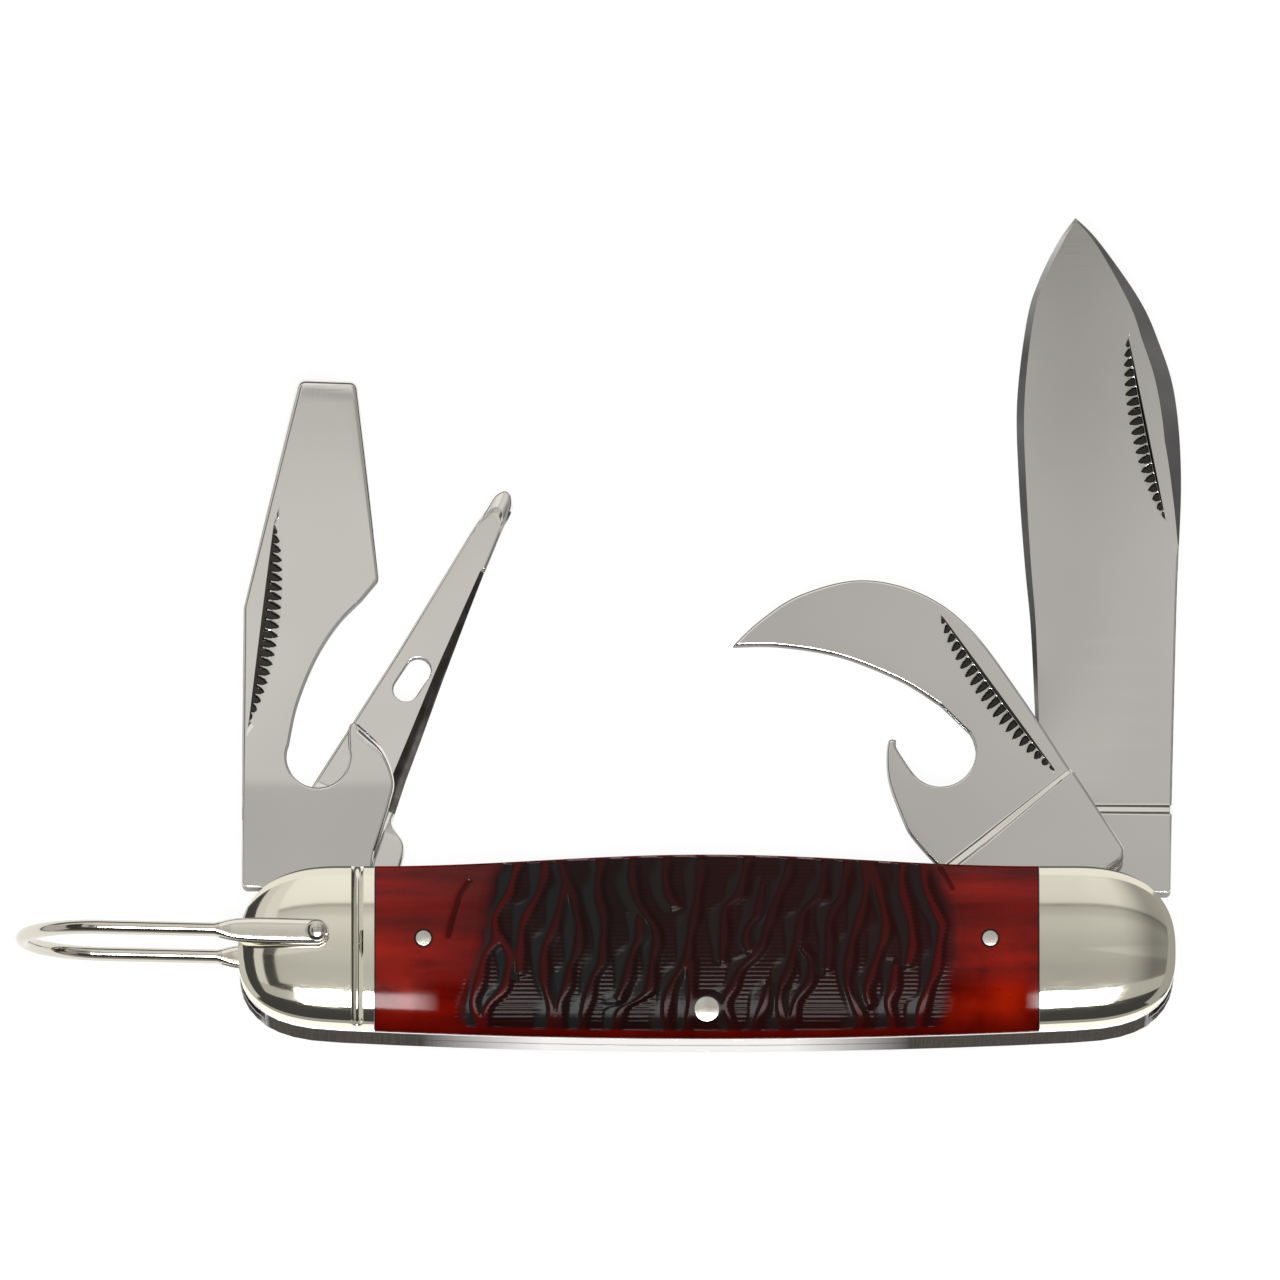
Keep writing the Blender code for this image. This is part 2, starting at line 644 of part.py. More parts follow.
def make_flush_pin(name, x, y, radius, low_side, high_side, finish):
    """A straight pin whose ends follow the covers they come out of, or stop flat inside the handle."""
    sections = []
    for end in (low_side, high_side):
        corners = circle((x, y), radius)
        if isinstance(end, str):
            sections.append([(px, py, cover_z(end, cover_height(px, py))) for px, py in corners])
        else:
            sections.append([(px, py, end) for px, py in corners])
    bm = lofted(sections, closed_ends=False)
    for loop in (bm.verts[:ROUND_STEPS], bm.verts[ROUND_STEPS:]):
        middle = sum((vert.co.z for vert in loop)) / ROUND_STEPS
        centre = bm.verts.new((x, y, middle))
        for i in range(ROUND_STEPS):
            bm.faces.new((centre, loop[i], loop[(i + 1) % ROUND_STEPS]))
    return add_object(name, bm, finish)


def make_knife():
    nickel = material("nickel_silver", (0.78, 0.74, 0.64), 0.18, 1.0)
    blade_steel = material("blade_steel", (0.70, 0.68, 0.65), 0.32, 1.0)
    spring_steel = material("spring_steel", (0.38, 0.37, 0.35), 0.35, 1.0)
    bone = material("jigged_bone", (0.30, 0.035, 0.02), 0.35, 0.0)

    liners = {}
    springs = {}
    covers = {"left": [], "right": [], "scale": []}
    for name in ("front", "centre", "rear"):
        liners[name] = make_plain_layer(name + "_liner", name + "_liner", handle_outline(), nickel)
    for side in ("front", "rear"):
        springs[side] = make_plain_layer(side + "_spring", side + "_slot", spring_outline(), spring_steel)
        left = make_bolster(side, -1.0, nickel)
        cut(left, flute_cutter(side))
        covers["left"].append(left)
        covers["right"].append(make_bolster(side, 1.0, nickel))
        covers["scale"].append(make_scale(side, bone))

    main_blade = make_main_blade(blade_steel)
    can_opener = make_can_opener(blade_steel)
    cap_lifter = make_cap_lifter(blade_steel)
    punch = make_punch(blade_steel)
    bail = make_bail(nickel)
    make_bail_pin(nickel)

    bury = COVER_THICKNESS - PIVOT_BURY
    pivot_low = cover_z("rear", PIVOT_BURY)
    pivot_high = cover_z("front", PIVOT_BURY)
    make_flush_pin("pivot_pin", PIVOT_X, 0.0, PIVOT_RADIUS, pivot_low, pivot_high, blade_steel)
    rivet_y = -SPRING_RIVET_DROP
    make_flush_pin("spring_rivet", 0.0, rivet_y, SPRING_RIVET_RADIUS, "rear", "front", nickel)

    pivot_bore = PIVOT_RADIUS + RUNNING_CLEARANCE
    through = (-OVERSHOOT, STACK_TOP + OVERSHOOT)
    left_hole = add_cutter("left_pivot_hole", rod(-PIVOT_X, 0.0, pivot_bore, *through))
    blind = (bury - RUNNING_CLEARANCE, STACK_TOP - bury + RUNNING_CLEARANCE)
    right_hole = add_cutter("right_pivot_hole", rod(PIVOT_X, 0.0, pivot_bore, *blind))
    rivet_bore = SPRING_RIVET_RADIUS + RUNNING_CLEARANCE
    rivet_hole = add_cutter("rivet_hole", rod(0.0, rivet_y, rivet_bore, *through))
    ear_bore = BAIL_PIN_RADIUS + RUNNING_CLEARANCE
    ear_hole = add_cutter("ear_hole", rod(-PIVOT_X, 0.0, ear_bore, -FAR, FAR))

    cut(bail, ear_hole)
    for piece in [*covers["left"], *liners.values(), cap_lifter, punch]:
        cut(piece, left_hole)
    for piece in [*covers["right"], *liners.values(), main_blade, can_opener]:
        cut(piece, right_hole)
    for piece in [*covers["scale"], *liners.values(), *springs.values()]:
        cut(piece, rivet_hole)

    pin_bore = SCALE_PIN_RADIUS + RUNNING_CLEARANCE
    for end, word in ((-1.0, "left"), (1.0, "right")):
        x = end * (JOINT_X - SCALE_PIN_INSET)
        for side, scale in zip(("front", "rear"), covers["scale"]):
            low, high = LAYERS[side + "_liner"]
            ends = (low, "front") if side == "front" else ("rear", high)
            name = f"{side}_scale_pin_{word}"
            make_flush_pin(name, x, -SCALE_PIN_DROP, SCALE_PIN_RADIUS, *ends, nickel)
            span = (low - LAYER_GAP / 2.0, through[1])
            if side == "rear":
                span = (through[0], high + LAYER_GAP / 2.0)
            hole = add_cutter(name + "_hole", rod(x, -SCALE_PIN_DROP, pin_bore, *span))
            cut(scale, hole)
            cut(liners[side], hole)


for leftover in list(bpy.data.objects):
    bpy.data.objects.remove(leftover, do_unlink=True)
make_knife()
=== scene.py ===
"""Looks of a four-blade camp pocket knife with a wire bail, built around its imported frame.

Lengths are in millimetres in the frame's axes; those of the stage and of surface grain are in metres.
"""

import math
from dataclasses import dataclass

import bmesh
import bpy
import numpy as np
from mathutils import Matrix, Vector
from mathutils.geometry import delaunay_2d_cdt


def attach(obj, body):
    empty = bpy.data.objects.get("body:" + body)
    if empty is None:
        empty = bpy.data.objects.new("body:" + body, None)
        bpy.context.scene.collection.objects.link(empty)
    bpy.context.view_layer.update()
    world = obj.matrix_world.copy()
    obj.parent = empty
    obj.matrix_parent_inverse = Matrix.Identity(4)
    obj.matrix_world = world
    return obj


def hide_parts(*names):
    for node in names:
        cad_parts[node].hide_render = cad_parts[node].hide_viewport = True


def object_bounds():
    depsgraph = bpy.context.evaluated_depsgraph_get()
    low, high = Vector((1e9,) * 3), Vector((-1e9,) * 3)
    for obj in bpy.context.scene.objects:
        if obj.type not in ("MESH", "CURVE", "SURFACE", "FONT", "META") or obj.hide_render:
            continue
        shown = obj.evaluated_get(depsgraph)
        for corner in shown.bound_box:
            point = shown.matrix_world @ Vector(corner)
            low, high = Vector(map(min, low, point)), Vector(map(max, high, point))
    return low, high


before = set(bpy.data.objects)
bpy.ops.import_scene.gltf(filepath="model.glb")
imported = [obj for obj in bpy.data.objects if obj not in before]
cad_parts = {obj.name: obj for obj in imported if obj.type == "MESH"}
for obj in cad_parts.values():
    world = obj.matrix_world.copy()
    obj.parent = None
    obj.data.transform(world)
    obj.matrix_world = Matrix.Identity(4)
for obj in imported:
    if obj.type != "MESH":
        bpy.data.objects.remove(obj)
cad_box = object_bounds()

MM = 0.001
WORD = {True: "front", False: "rear"}

# Handle outline and layers
PIVOT_X = 38.3
JOINT_X = 32.6
NOSE_X = 36.0
NOSE_LENGTH = 10.0
NOSE_DROP = 1.5
TOP_MIDDLE = 8.0
TOP_BOLSTER = 6.84
BACK_MIDDLE = 10.0
BACK_BOLSTER = 9.25
POWER_TOP = 2.4
POWER_BACK = 2.8
CROWN_POWER = 3.0
TOP_CUT = 0.15
WALL = 1.0
RISE = 2.2
JOINT_GAP = 0.05
FRONT_INSET = 0.08
REAR_INSET = 0.25
STACK_TOP = 14.08
STACK_MIDDLE = STACK_TOP / 2.0
FRONT_LINER_TOP = 10.88
REAR_LINER_BOTTOM = 3.2
BOLSTER_LEVELS = 44
NOSE_STEPS = 32
SQUARE_FADE = 75.0

# Flute across each left bolster
FLUTE_X = 34.3
FLUTE_WIDTH = 1.2
FLUTE_DEPTH = 0.38

# Blades
TANG_RADIUS = 5.0
TANG_STEP = 5.3
SPINE_X = 7.4
EDGE_THICKNESS = 0.06
REAR_SHARE = 0.6
SAME_POINT = 0.04
RIM_SHARES = (0.0, 0.35, 0.7, 1.0)
GRID = 1.25
GRID_MARGIN = 0.3
CORNER_PULL = 0.06
SLOPE_STEP = 0.002
SMOOTH_TURN = 0.8
NICK_DEPTH = 0.30
NICK_FLOOR = 0.10
NICK_SOFT = 0.05
TOOTH_SOFT = 0.12
TOOTH_LEAN = 0.25
NICK_ROWS = (-0.03, 0.01, 0.10, 0.15, 0.20, 0.25, 0.31, 0.38, 0.48, 0.60, 0.72, 0.83, 0.92, 0.98, 1.01)

# Pins, as X, Y and radius, and the bail
RIVET = (0.0, -7.5, 1.2)
SCALE_PIN = (27.8, -0.5, 0.75)
LEFT_SCALE_PIN = (-27.8, -0.5, 0.75)
BURIED = -0.5
PIN_SIDES = 48
EAR_POWER = 4.0

# The photo's scale: pixels at X and Y 0, pixels to the millimetre, and how far up a cover's face shows
PHOTO_X = 706.5
PHOTO_Y = 944.5
PIXELS_ACROSS = 10.14
PIXELS_UP = 9.97
FACE_SHIFT = 1.28

# Jigging of the bone in photo pixels, read or set one by one: ridge lines left standing between the grooves,
# the two ends of the jigged field, and lone notches beside it
RIDGES = (
    ((520, 858), (516, 878), (510, 894), (503, 905), (498, 918), (498, 930), (497, 941), (490, 951),
     (484, 966), (479, 985), (476, 1000), (479, 1014), (483, 1023)),
    ((498, 930), (505, 941), (511, 951), (512, 965), (507, 985), (495, 999), (488, 1009), (485, 1021)),
    ((547, 858), (544, 880), (540, 894), (530, 909), (525, 924), (523, 940), (521, 956), (522, 970)),
    ((563, 858), (567, 878), (574, 894), (578, 909), (581, 924), (580, 940), (577, 955), (572, 967),
     (568, 985), (563, 1000), (560, 1015), (556, 1032)),
    ((567, 884), (564, 900), (559, 915), (554, 928), (548, 944), (545, 960), (545, 976), (549, 990),
     (553, 1006), (551, 1024)),
    ((602, 858), (600, 880), (600, 898), (604, 914), (606, 930), (604, 946), (602, 962), (595, 977),
     (590, 992), (586, 1010), (583, 1032)),
    ((634, 858), (632, 874), (636, 890), (642, 904), (650, 916), (656, 927), (657, 940), (655, 956),
     (652, 976), (649, 990), (639, 999), (629, 1003), (621, 1009), (617, 1021), (615, 1034)),
    ((641, 918), (641, 934), (637, 946), (632, 957), (628, 970), (625, 984), (620, 996)),
    ((667, 858), (667, 878), (669, 894), (674, 902)),
    ((701, 858), (700, 880), (698, 899), (694, 914), (692, 930), (690, 945), (686, 959), (681, 970),
     (675, 980), (669, 992), (667, 1006), (668, 1020), (672, 1033)),
    ((690, 962), (692, 984), (692, 1002), (689, 1018), (685, 1033)),
    ((748, 858), (744, 879), (738, 894), (728, 905), (725, 920), (724, 940), (724, 958)),
    ((764, 884), (760, 900), (757, 915), (750, 925), (746, 938), (749, 947)),
    ((792, 858), (786, 879), (780, 895), (772, 910), (768, 925), (764, 940), (757, 950), (749, 960),
     (740, 971), (733, 985), (727, 1000), (730, 1015), (735, 1032)),
    ((769, 985), (765, 1000), (759, 1014), (754, 1026), (748, 1034)),
    ((826, 858), (824, 879), (819, 894), (808, 906), (801, 920), (798, 939), (793, 959), (786, 975),
     (782, 990), (781, 1005), (784, 1020), (786, 1034)),
    ((804, 948), (812, 959), (811, 975), (803, 990), (797, 1001), (793, 1016)),
    ((848, 858), (845, 880), (842, 895), (834, 906), (830, 920), (829, 940), (828, 966)),
    ((864, 858), (867, 879), (866, 899), (860, 915), (856, 930), (852, 946), (848, 960), (847, 975),
     (850, 990), (856, 1004), (860, 1015), (857, 1032)),
    ((871, 858), (876, 879), (881, 895), (885, 910), (886, 925), (883, 940), (878, 956), (872, 970),
     (868, 986), (870, 1000)),
    ((904, 858), (902, 879), (903, 895), (908, 910), (912, 926), (912, 944), (908, 962)),
    ((896, 964), (893, 984), (889, 1000), (892, 1015), (890, 1032)),
    ((924, 858), (926, 879), (930, 895), (936, 910), (942, 924), (941, 940), (938, 956), (934, 975),
     (928, 990), (921, 1005), (919, 1020), (921, 1032)),
)
JIG_LEFT = ((500, 847), (500, 862), (492, 880), (488, 900), (488, 920), (483, 940), (477, 960), (470, 980),
            (463, 1000), (460, 1012), (468, 1026), (468, 1036))
JIG_RIGHT = ((930, 847), (930, 864), (940, 880), (948, 900), (953, 925), (952, 945), (948, 965), (944, 985),
             (946, 1000), (942, 1012), (935, 1026), (935, 1036))
NOTCHES = (((470, 880), (461, 893), (457, 905), (452, 922), (449, 936)),
           ((939, 866), (945, 876), (951, 887)))
SCALE_COLUMNS = 521
SCALE_ROWS = 140
GROOVE_DEPTH = 0.22
CREST_SHIFT = 0.35
CREST_WIDTH = 0.30
CREST_FALL = 1.00
CREST_RISE = 0.26
END_STRETCH = 1.5
NOTCH_HALF = 0.20
BAND = 1.35
BAND_FADE = 0.6
RIB_PITCH = 0.42
RIB_HEIGHT = 0.0090
FIELD_FADE = 1.8
CREST_WANDER = 0.15
CREST_EDGE = 0.34
CREST_RIB = 0.10
CREST_SOFT = 0.25
FOOT_WIDTH = 0.16
FOOT_SOFT = 0.10
BAND_WANDER = 0.35
NOTCH_CUT = 0.6
NOTCH_STAIN = 0.8
RIBS_FROM = -1.5
RIBS_FADE = 2.5
BOSS_MARGIN = 0.25
BOSS_FADE = 0.5


# Plane curves


def arc(centre, radius, start, end, steps):
    """Points on a circle from one angle to another, in degrees."""
    points = []
    for i in range(steps + 1):
        angle = math.radians(start + (end - start) * i / steps)
        points.append((centre[0] + radius * math.cos(angle), centre[1] + radius * math.sin(angle)))
    return points


def smooth(points, steps):
    """A smooth open curve through the points."""
    ends = [points[0], *points, points[-1]]
    curve = []
    for a, b, c, d in zip(ends, ends[1:], ends[2:], ends[3:]):
        for i in range(steps):
            t = i / steps
            curve.append(tuple(
                b[k] + 0.5 * t * (c[k] - a[k] + t * (2 * a[k] - 5 * b[k] + 4 * c[k] - d[k]
                                                     + t * (3 * (b[k] - c[k]) + d[k] - a[k])))
                for k in (0, 1)))
    curve.append(tuple(points[-1]))
    return curve


def fillet(before, corner, after, radius, steps=6):
    """The rounded form of one corner between straight runs."""
    corner = Vector(corner)
    a = Vector(before) - corner
    b = Vector(after) - corner
    reach = radius / math.tan(a.angle(b) / 2.0)
    start = corner + a.normalized() * reach
    end = corner + b.normalized() * reach
    shares = [i / steps for i in range(steps + 1)]
    return [tuple(start * (1 - t) ** 2 + corner * (2 * t * (1 - t)) + end * t ** 2) for t in shares]


def table(*pairs):
    """A function that reads a value from pairs of place and value, with straight lines between them."""
    places, values = zip(*pairs)
    return lambda x: float(np.interp(x, places, values))


def ease(t):
    t = np.clip(t, 0.0, 1.0)
    return t * t * (3.0 - 2.0 * t)


def handle_top(x):
    share = np.minimum(np.abs(x) / JOINT_X, 1.0)
    return TOP_BOLSTER + (TOP_MIDDLE - TOP_BOLSTER) * (1.0 + np.cos(np.pi * share)) / 2.0


def cover_back(x, front):
    """A cover's back edge, rounded off a little inside the liners."""
    back = -BACK_MIDDLE + (BACK_MIDDLE - BACK_BOLSTER) * (x / JOINT_X) ** 2
    return back + (FRONT_INSET if front else REAR_INSET)


def crown(q, square=0.0):
    """Height of a cover above its liner: q is 0 on the middle line and 1 on the edge, which may be square."""
    return WALL + RISE * np.maximum(1.0 - q * (1.0 - TOP_CUT * square), 0.0) ** (1.0 / CROWN_POWER)


def cover_z(front, height):
    return FRONT_LINER_TOP + height if front else REAR_LINER_BOTTOM - height


# Finishes


MIX_NUMBERS = (2, 3)
MIX_COLOURS = (6, 7)
MIX_COLOUR = 2
PIT_PAINTED_SHADE = (0.060, 0.057, 0.052)


class Nodes:
    """The shader nodes of a material or of the world."""

    def __init__(self, owner):
        owner.use_nodes = True
        self.owner = owner
        self.tree = owner.node_tree

    def put(self, node, key, value):
        """Sets an input to a number or colour, or links it to a socket or to a node's first output."""
        socket = node.inputs[key]
        if isinstance(value, bpy.types.Node):
            value = value.outputs[0]
        if isinstance(value, bpy.types.NodeSocket):
            self.tree.links.new(value, socket)
        else:
            socket.default_value = (*value, 1.0) if socket.type == "RGBA" else value

    def add(self, kind, inputs=(), **settings):
        """A new node with its settings and inputs."""
        made = self.tree.nodes.new("ShaderNode" + kind)
        for key, value in settings.items():
            setattr(made, key, value)
        for key, value in dict(inputs).items():
            self.put(made, key, value)
        return made


class Paint(Nodes):
    """A material with its main shader."""

    def __init__(self, name):
        super().__init__(bpy.data.materials.new(name))
        self.shader = self.tree.nodes["Principled BSDF"]

    def shade(self, **values):
        """Fills inputs of the main shader, named with _ for a space."""
        for key, value in values.items():
            self.put(self.shader, key.replace("_", " "), value)

    def surface(self, shader):
        """Puts another shader in the main one's place."""
        self.tree.nodes.remove(self.shader)
        self.put(self.tree.nodes["Material Output"], "Surface", shader)
        return self.owner

    def math(self, operation, *values):
        return self.add("Math", enumerate(values), operation=operation)

    def place(self):
        return self.add("TexCoord").outputs["Object"]

    def along(self):
        """Sockets of the X and Y of each point, in metres."""
        split = self.add("SeparateXYZ", {0: self.place()})
        return split.outputs["X"], split.outputs["Y"]

    def stretched(self, scale):
        return self.add("Mapping", {"Vector": self.place(), "Scale": scale})

    def noise(self, scale, detail):
        """Noise with so many lumps to the metre along each axis."""
        return self.add("TexNoise", {"Vector": self.stretched(scale), "Scale": 1.0, "Detail": detail})

    def attribute(self, name):
        return self.add("Attribute", attribute_name=name).outputs["Fac"]

    def ranged(self, value, low, high, start=0.0, end=1.0):
        """A number that runs from low to high while a value runs from start to end."""
        ends = {"Value": value, "From Min": start, "From Max": end, "To Min": low, "To Max": high}
        return self.add("MapRange", ends)

    def fade(self, place, low, high, start, end):
        """A number that runs from low to high between two places in millimetres."""
        return self.ranged(place, low, high, start * MM, end * MM)

    def blotches(self, scale, detail, start, end):
        """Noise spread out to run from 0 to 1."""
        return self.ranged(self.noise(scale, detail), 0.0, 1.0, start, end)

    def mixed(self, factor, first, second):
        """One colour changing into another."""
        colours = zip(MIX_COLOURS, (first, second))
        return self.add("Mix", [(0, factor), *colours], data_type="RGBA").outputs[MIX_COLOUR]

    def blended(self, factor, first, second):
        """One number changing into another."""
        return self.add("Mix", [(0, factor), *zip(MIX_NUMBERS, (first, second))], data_type="FLOAT")

    def bump(self, height, distance, strength=1.0):
        self.shade(Normal=self.add("Bump", {"Strength": strength, "Distance": distance, "Height": height}))

    def graph(self, socket, pairs):
        """A number read from pairs of place and value, with straight lines between them."""
        low, high = pairs[0][0], pairs[-1][0]
        peak = max(v for p, v in pairs)
        made = self.add("FloatCurve", {"Value": self.ranged(socket, 0.0, 1.0, low, high)})
        line = made.mapping.curves[0]
        for p, v in pairs[1:-1]:
            line.points.new((p - low) / (high - low), v / peak)
        line.points[0].location = (0.0, pairs[0][1] / peak)
        line.points[len(line.points) - 1].location = (1.0, pairs[-1][1] / peak)
        for point in line.points:
            point.handle_type = "VECTOR"
        made.mapping.update()
        return self.ranged(made, 0.0, peak)


def metal(name, light, dark, rough, grain, depth, drift=60.0, pits=False):
    """A metal whose tone drifts over centimetres and whose polish runs in fine lines; with pits, its nicks
    get painted shade that deepens with their depth.
    """
    paint = Paint(name)
    colour = paint.mixed(paint.blotches((drift, drift, drift), 2.0, 0.3, 0.7), dark, light)
    # Painted shade in the nick, darker where it is deeper.
    if pits:
        pit = paint.ranged(paint.attribute("pit"), 0.0, 1.0, 0.02, 0.35)
        colour = paint.mixed(pit, colour, PIT_PAINTED_SHADE)
    lines = paint.noise(grain, 4.0)
    paint.shade(Metallic=1.0, Base_Color=colour, Roughness=paint.ranged(lines, *rough, 0.25, 0.75))
    paint.bump(lines, depth)
    return paint.owner


BLADE = metal("blade_steel", (0.91, 0.892, 0.843), (0.85, 0.832, 0.795), (0.07, 0.10),
              (300.0, 12000.0, 300.0), 2.5e-8, pits=True)
LEFT_BLADE = metal("tool_steel", (0.89, 0.873, 0.826), (0.83, 0.813, 0.773), (0.07, 0.10),
                   (12000.0, 500.0, 500.0), 2.5e-8, pits=True)
# Painted shade: the blades' side walls are near black, standing in for the dark reflection of the shadowed
# floor beside them.
WALL_STEEL_PAINTED_SHADE = metal("wall_steel", (0.13, 0.125, 0.12), (0.08, 0.077, 0.073), (0.25, 0.36),
                   (900.0, 900.0, 6000.0), 4.0e-7)
# Painted shade: the punch's ground facet is near black, a painted dark reflection over its belt-ground grain.
DARK_GROUND_PAINTED_SHADE = metal("dark_ground_steel", (0.10, 0.092, 0.085), (0.055, 0.05, 0.046), (0.38, 0.50),
                    (6000.0, 900.0, 6000.0), 8.0e-7, drift=700.0)
NICKEL = metal("nickel_silver", (0.97, 0.94, 0.80), (0.94, 0.905, 0.76), (0.05, 0.09),
               (500.0, 3000.0, 500.0), 7.0e-8)
LINER = metal("liner_nickel", (0.90, 0.88, 0.84), (0.84, 0.82, 0.78), (0.10, 0.20),
              (2500.0, 400.0, 400.0), 1.0e-7)
# The bail is one metal in three lit and shaded copies: the wire and its pin painted darker as painted shade,
# the ear's flat face lighter as painted light, and the ear's walls near black as painted shade.
BAIL_PAINTED_SHADE = metal("bail_wire", (0.72, 0.69, 0.61), (0.66, 0.63, 0.55), (0.08, 0.13),
             (400.0, 2500.0, 2500.0), 7.0e-8)
EAR_FACE_PAINTED_LIGHT = metal("bail_ear", (0.95, 0.92, 0.81), (0.91, 0.875, 0.76), (0.08, 0.13),
                 (2500.0, 400.0, 400.0), 7.0e-8)
EAR_WALL_PAINTED_SHADE = metal("bail_ear_wall", (0.07, 0.064, 0.055), (0.04, 0.036, 0.030), (0.30, 0.42),
                 (900.0, 900.0, 900.0), 4.0e-7)
RIVET_NICKEL = metal("rivet_nickel", (0.80, 0.78, 0.70), (0.74, 0.72, 0.64), (0.13, 0.17),
                     (900.0, 3000.0, 900.0), 1.0e-7)
PIN = metal("pin_nickel", (0.60, 0.585, 0.53), (0.54, 0.525, 0.47), (0.20, 0.28),
            (900.0, 3000.0, 900.0), 2.0e-7)


def ground_finish_with_painted_shade():
    """Belt-ground steel of the main blade's bevels, its grain and roughness real and its dark tone a painted
    dark reflection; lighter along the last of the cutting edge.
    """
    paint = Paint("ground_steel")
    x, y = paint.along()
    tip = paint.math("MULTIPLY", paint.fade(y, 0.0, 1.0, 59.5, 70.5), paint.fade(x, 1.0, 0.0, 36.2, 36.8))
    drift = paint.blotches((90.0, 90.0, 90.0), 2.0, 0.32, 0.68)
    # Painted dark reflection: the bevel's steel is painted dark, except near the tip.
    dark = paint.mixed(drift, (0.17, 0.165, 0.17), (0.32, 0.31, 0.31))
    grain = paint.noise((900.0, 9000.0, 900.0), 4.0)
    paint.shade(Metallic=1.0, Base_Color=paint.mixed(tip, dark, (0.93, 0.92, 0.90)),
                Roughness=paint.ranged(grain, 0.28, 0.40, 0.25, 0.75))
    paint.bump(grain, 4.0e-7)
    return paint.owner


def spring_finish_with_painted_shade(name, middle):
    """Spring steel, polished in the middle of the back and round the noses, and between them near black and
    dull, a painted dark reflection over a cross-ground grain.
    """
    paint = Paint(name)
    grain = paint.noise((5000.0, 120.0, 120.0), 4.0)
    shades = paint.ranged(grain, 0.0, 1.0, 0.3, 0.7)
    dark = paint.mixed(shades, (0.022, 0.016, 0.011), (0.070, 0.054, 0.039))
    # Painted dark reflection: away from the middle and the noses the steel is painted near black,
    # non-metallic and dull.
    x = paint.along()[0]
    from_middle = paint.math("ABSOLUTE", paint.math("ADD", x, 4.0 * MM))
    ends = paint.math("MULTIPLY", paint.fade(from_middle, 0.0, 1.0, 12.0, 24.0),
                      paint.fade(paint.math("ABSOLUTE", x), 1.0, 0.0, 43.0, 44.0))
    paint.shade(Base_Color=paint.mixed(ends, middle, dark), Roughness=paint.ranged(ends, 0.16, 0.50),
                Metallic=paint.ranged(ends, 1.0, 0.0), Specular_IOR_Level=paint.ranged(ends, 0.5, 0.02))
    paint.bump(grain, 5.0e-7)
    return paint.owner


GROUND = ground_finish_with_painted_shade()
SPRING = spring_finish_with_painted_shade("spring_steel", (0.82, 0.80, 0.77))
# The centre liner is painted dark in its middle as well, painted shade in the gap between the springs.
CENTRE_LINER_PAINTED_SHADE = spring_finish_with_painted_shade("centre_liner", (0.14, 0.135, 0.13))


def plain_bone(paint, y, far):
    """Colour of the bone beside its jigging: streaked and cloudy reds, with a painted dark reflection along a
    line across the middle, darkened by dye towards the jigging and darker along the lower edge.
    """
    streaks = paint.blotches((60.0, 520.0, 200.0), 4.0, 0.34, 0.66)
    clouds = paint.blotches((160.0, 150.0, 100.0), 3.0, 0.35, 0.68)
    deep = paint.mixed(streaks, (0.070, 0.0022, 0.0016), (0.240, 0.0072, 0.0040))
    warm = paint.mixed(streaks, (0.056, 0.0014, 0.0010), (0.180, 0.0045, 0.0018))
    warm = paint.mixed(clouds, warm, (0.330, 0.0120, 0.0020))
    red = paint.mixed(paint.fade(y, 1.0, 0.0, -6.0, 5.0), deep, warm)
    # Painted reflection: a dark line 1.7 mm up stands in for a dark band reflected in the polished bone; the
    # second mix is dye that darkens the red towards the jigging.
    off_reflected_line = paint.math("ABSOLUTE", paint.math("SUBTRACT", y, 1.7 * MM))
    for dye_and_painted_reflection in (paint.fade(off_reflected_line, 0.38, 0.0, 0.6, 3.4), paint.fade(far, 0.5, 0.0, 22.2, 26.4)):
        red = paint.mixed(dye_and_painted_reflection, red, (0.022, 0.0012, 0.0010))
    return paint.mixed(paint.fade(y, 0.6, 0.0, -8.8, -7.2), red, (0.060, 0.0012, 0.0010))


def cut_bone(paint, x, y, far):
    """Colour of the jigging: maroon with painted shade in the troughs between its ribs, black bands, and
    ridges that redden towards the ends.
    """
    outer = paint.fade(far, 0.0, 1.0, 8.0, 24.0)
    maroon = paint.mixed(outer, (0.0130, 0.0011, 0.0011), (0.0320, 0.0014, 0.0012))
    # Painted shade: the maroon darkens in the troughs between the milling ribs.
    ribs = paint.math("SINE", paint.math("MULTIPLY", y, 2.0 * math.pi / (RIB_PITCH * MM)))
    right_side = paint.fade(x, 0.0, 1.0, -10.0, 2.0)
    rib_trough_shade = paint.mixed(right_side, (0.0080, 0.0040, 0.0040), (0.0160, 0.0037, 0.0037))
    maroon = paint.mixed(paint.ranged(ribs, 0.0, 0.55, -1.0, 1.0), rib_trough_shade, maroon)
    black = paint.mixed(right_side, (0.0106, 0.0114, 0.0108), (0.0146, 0.0082, 0.0080))
    field = paint.mixed(paint.attribute("band"), maroon, black)
    ends = paint.fade(far, 0.0, 1.0, 13.0, 23.0)
    crest = paint.mixed(ends, (0.0215, 0.0036, 0.0034), (0.0680, 0.0030, 0.0027))
    return paint.mixed(paint.attribute("ridge"), field, crest)


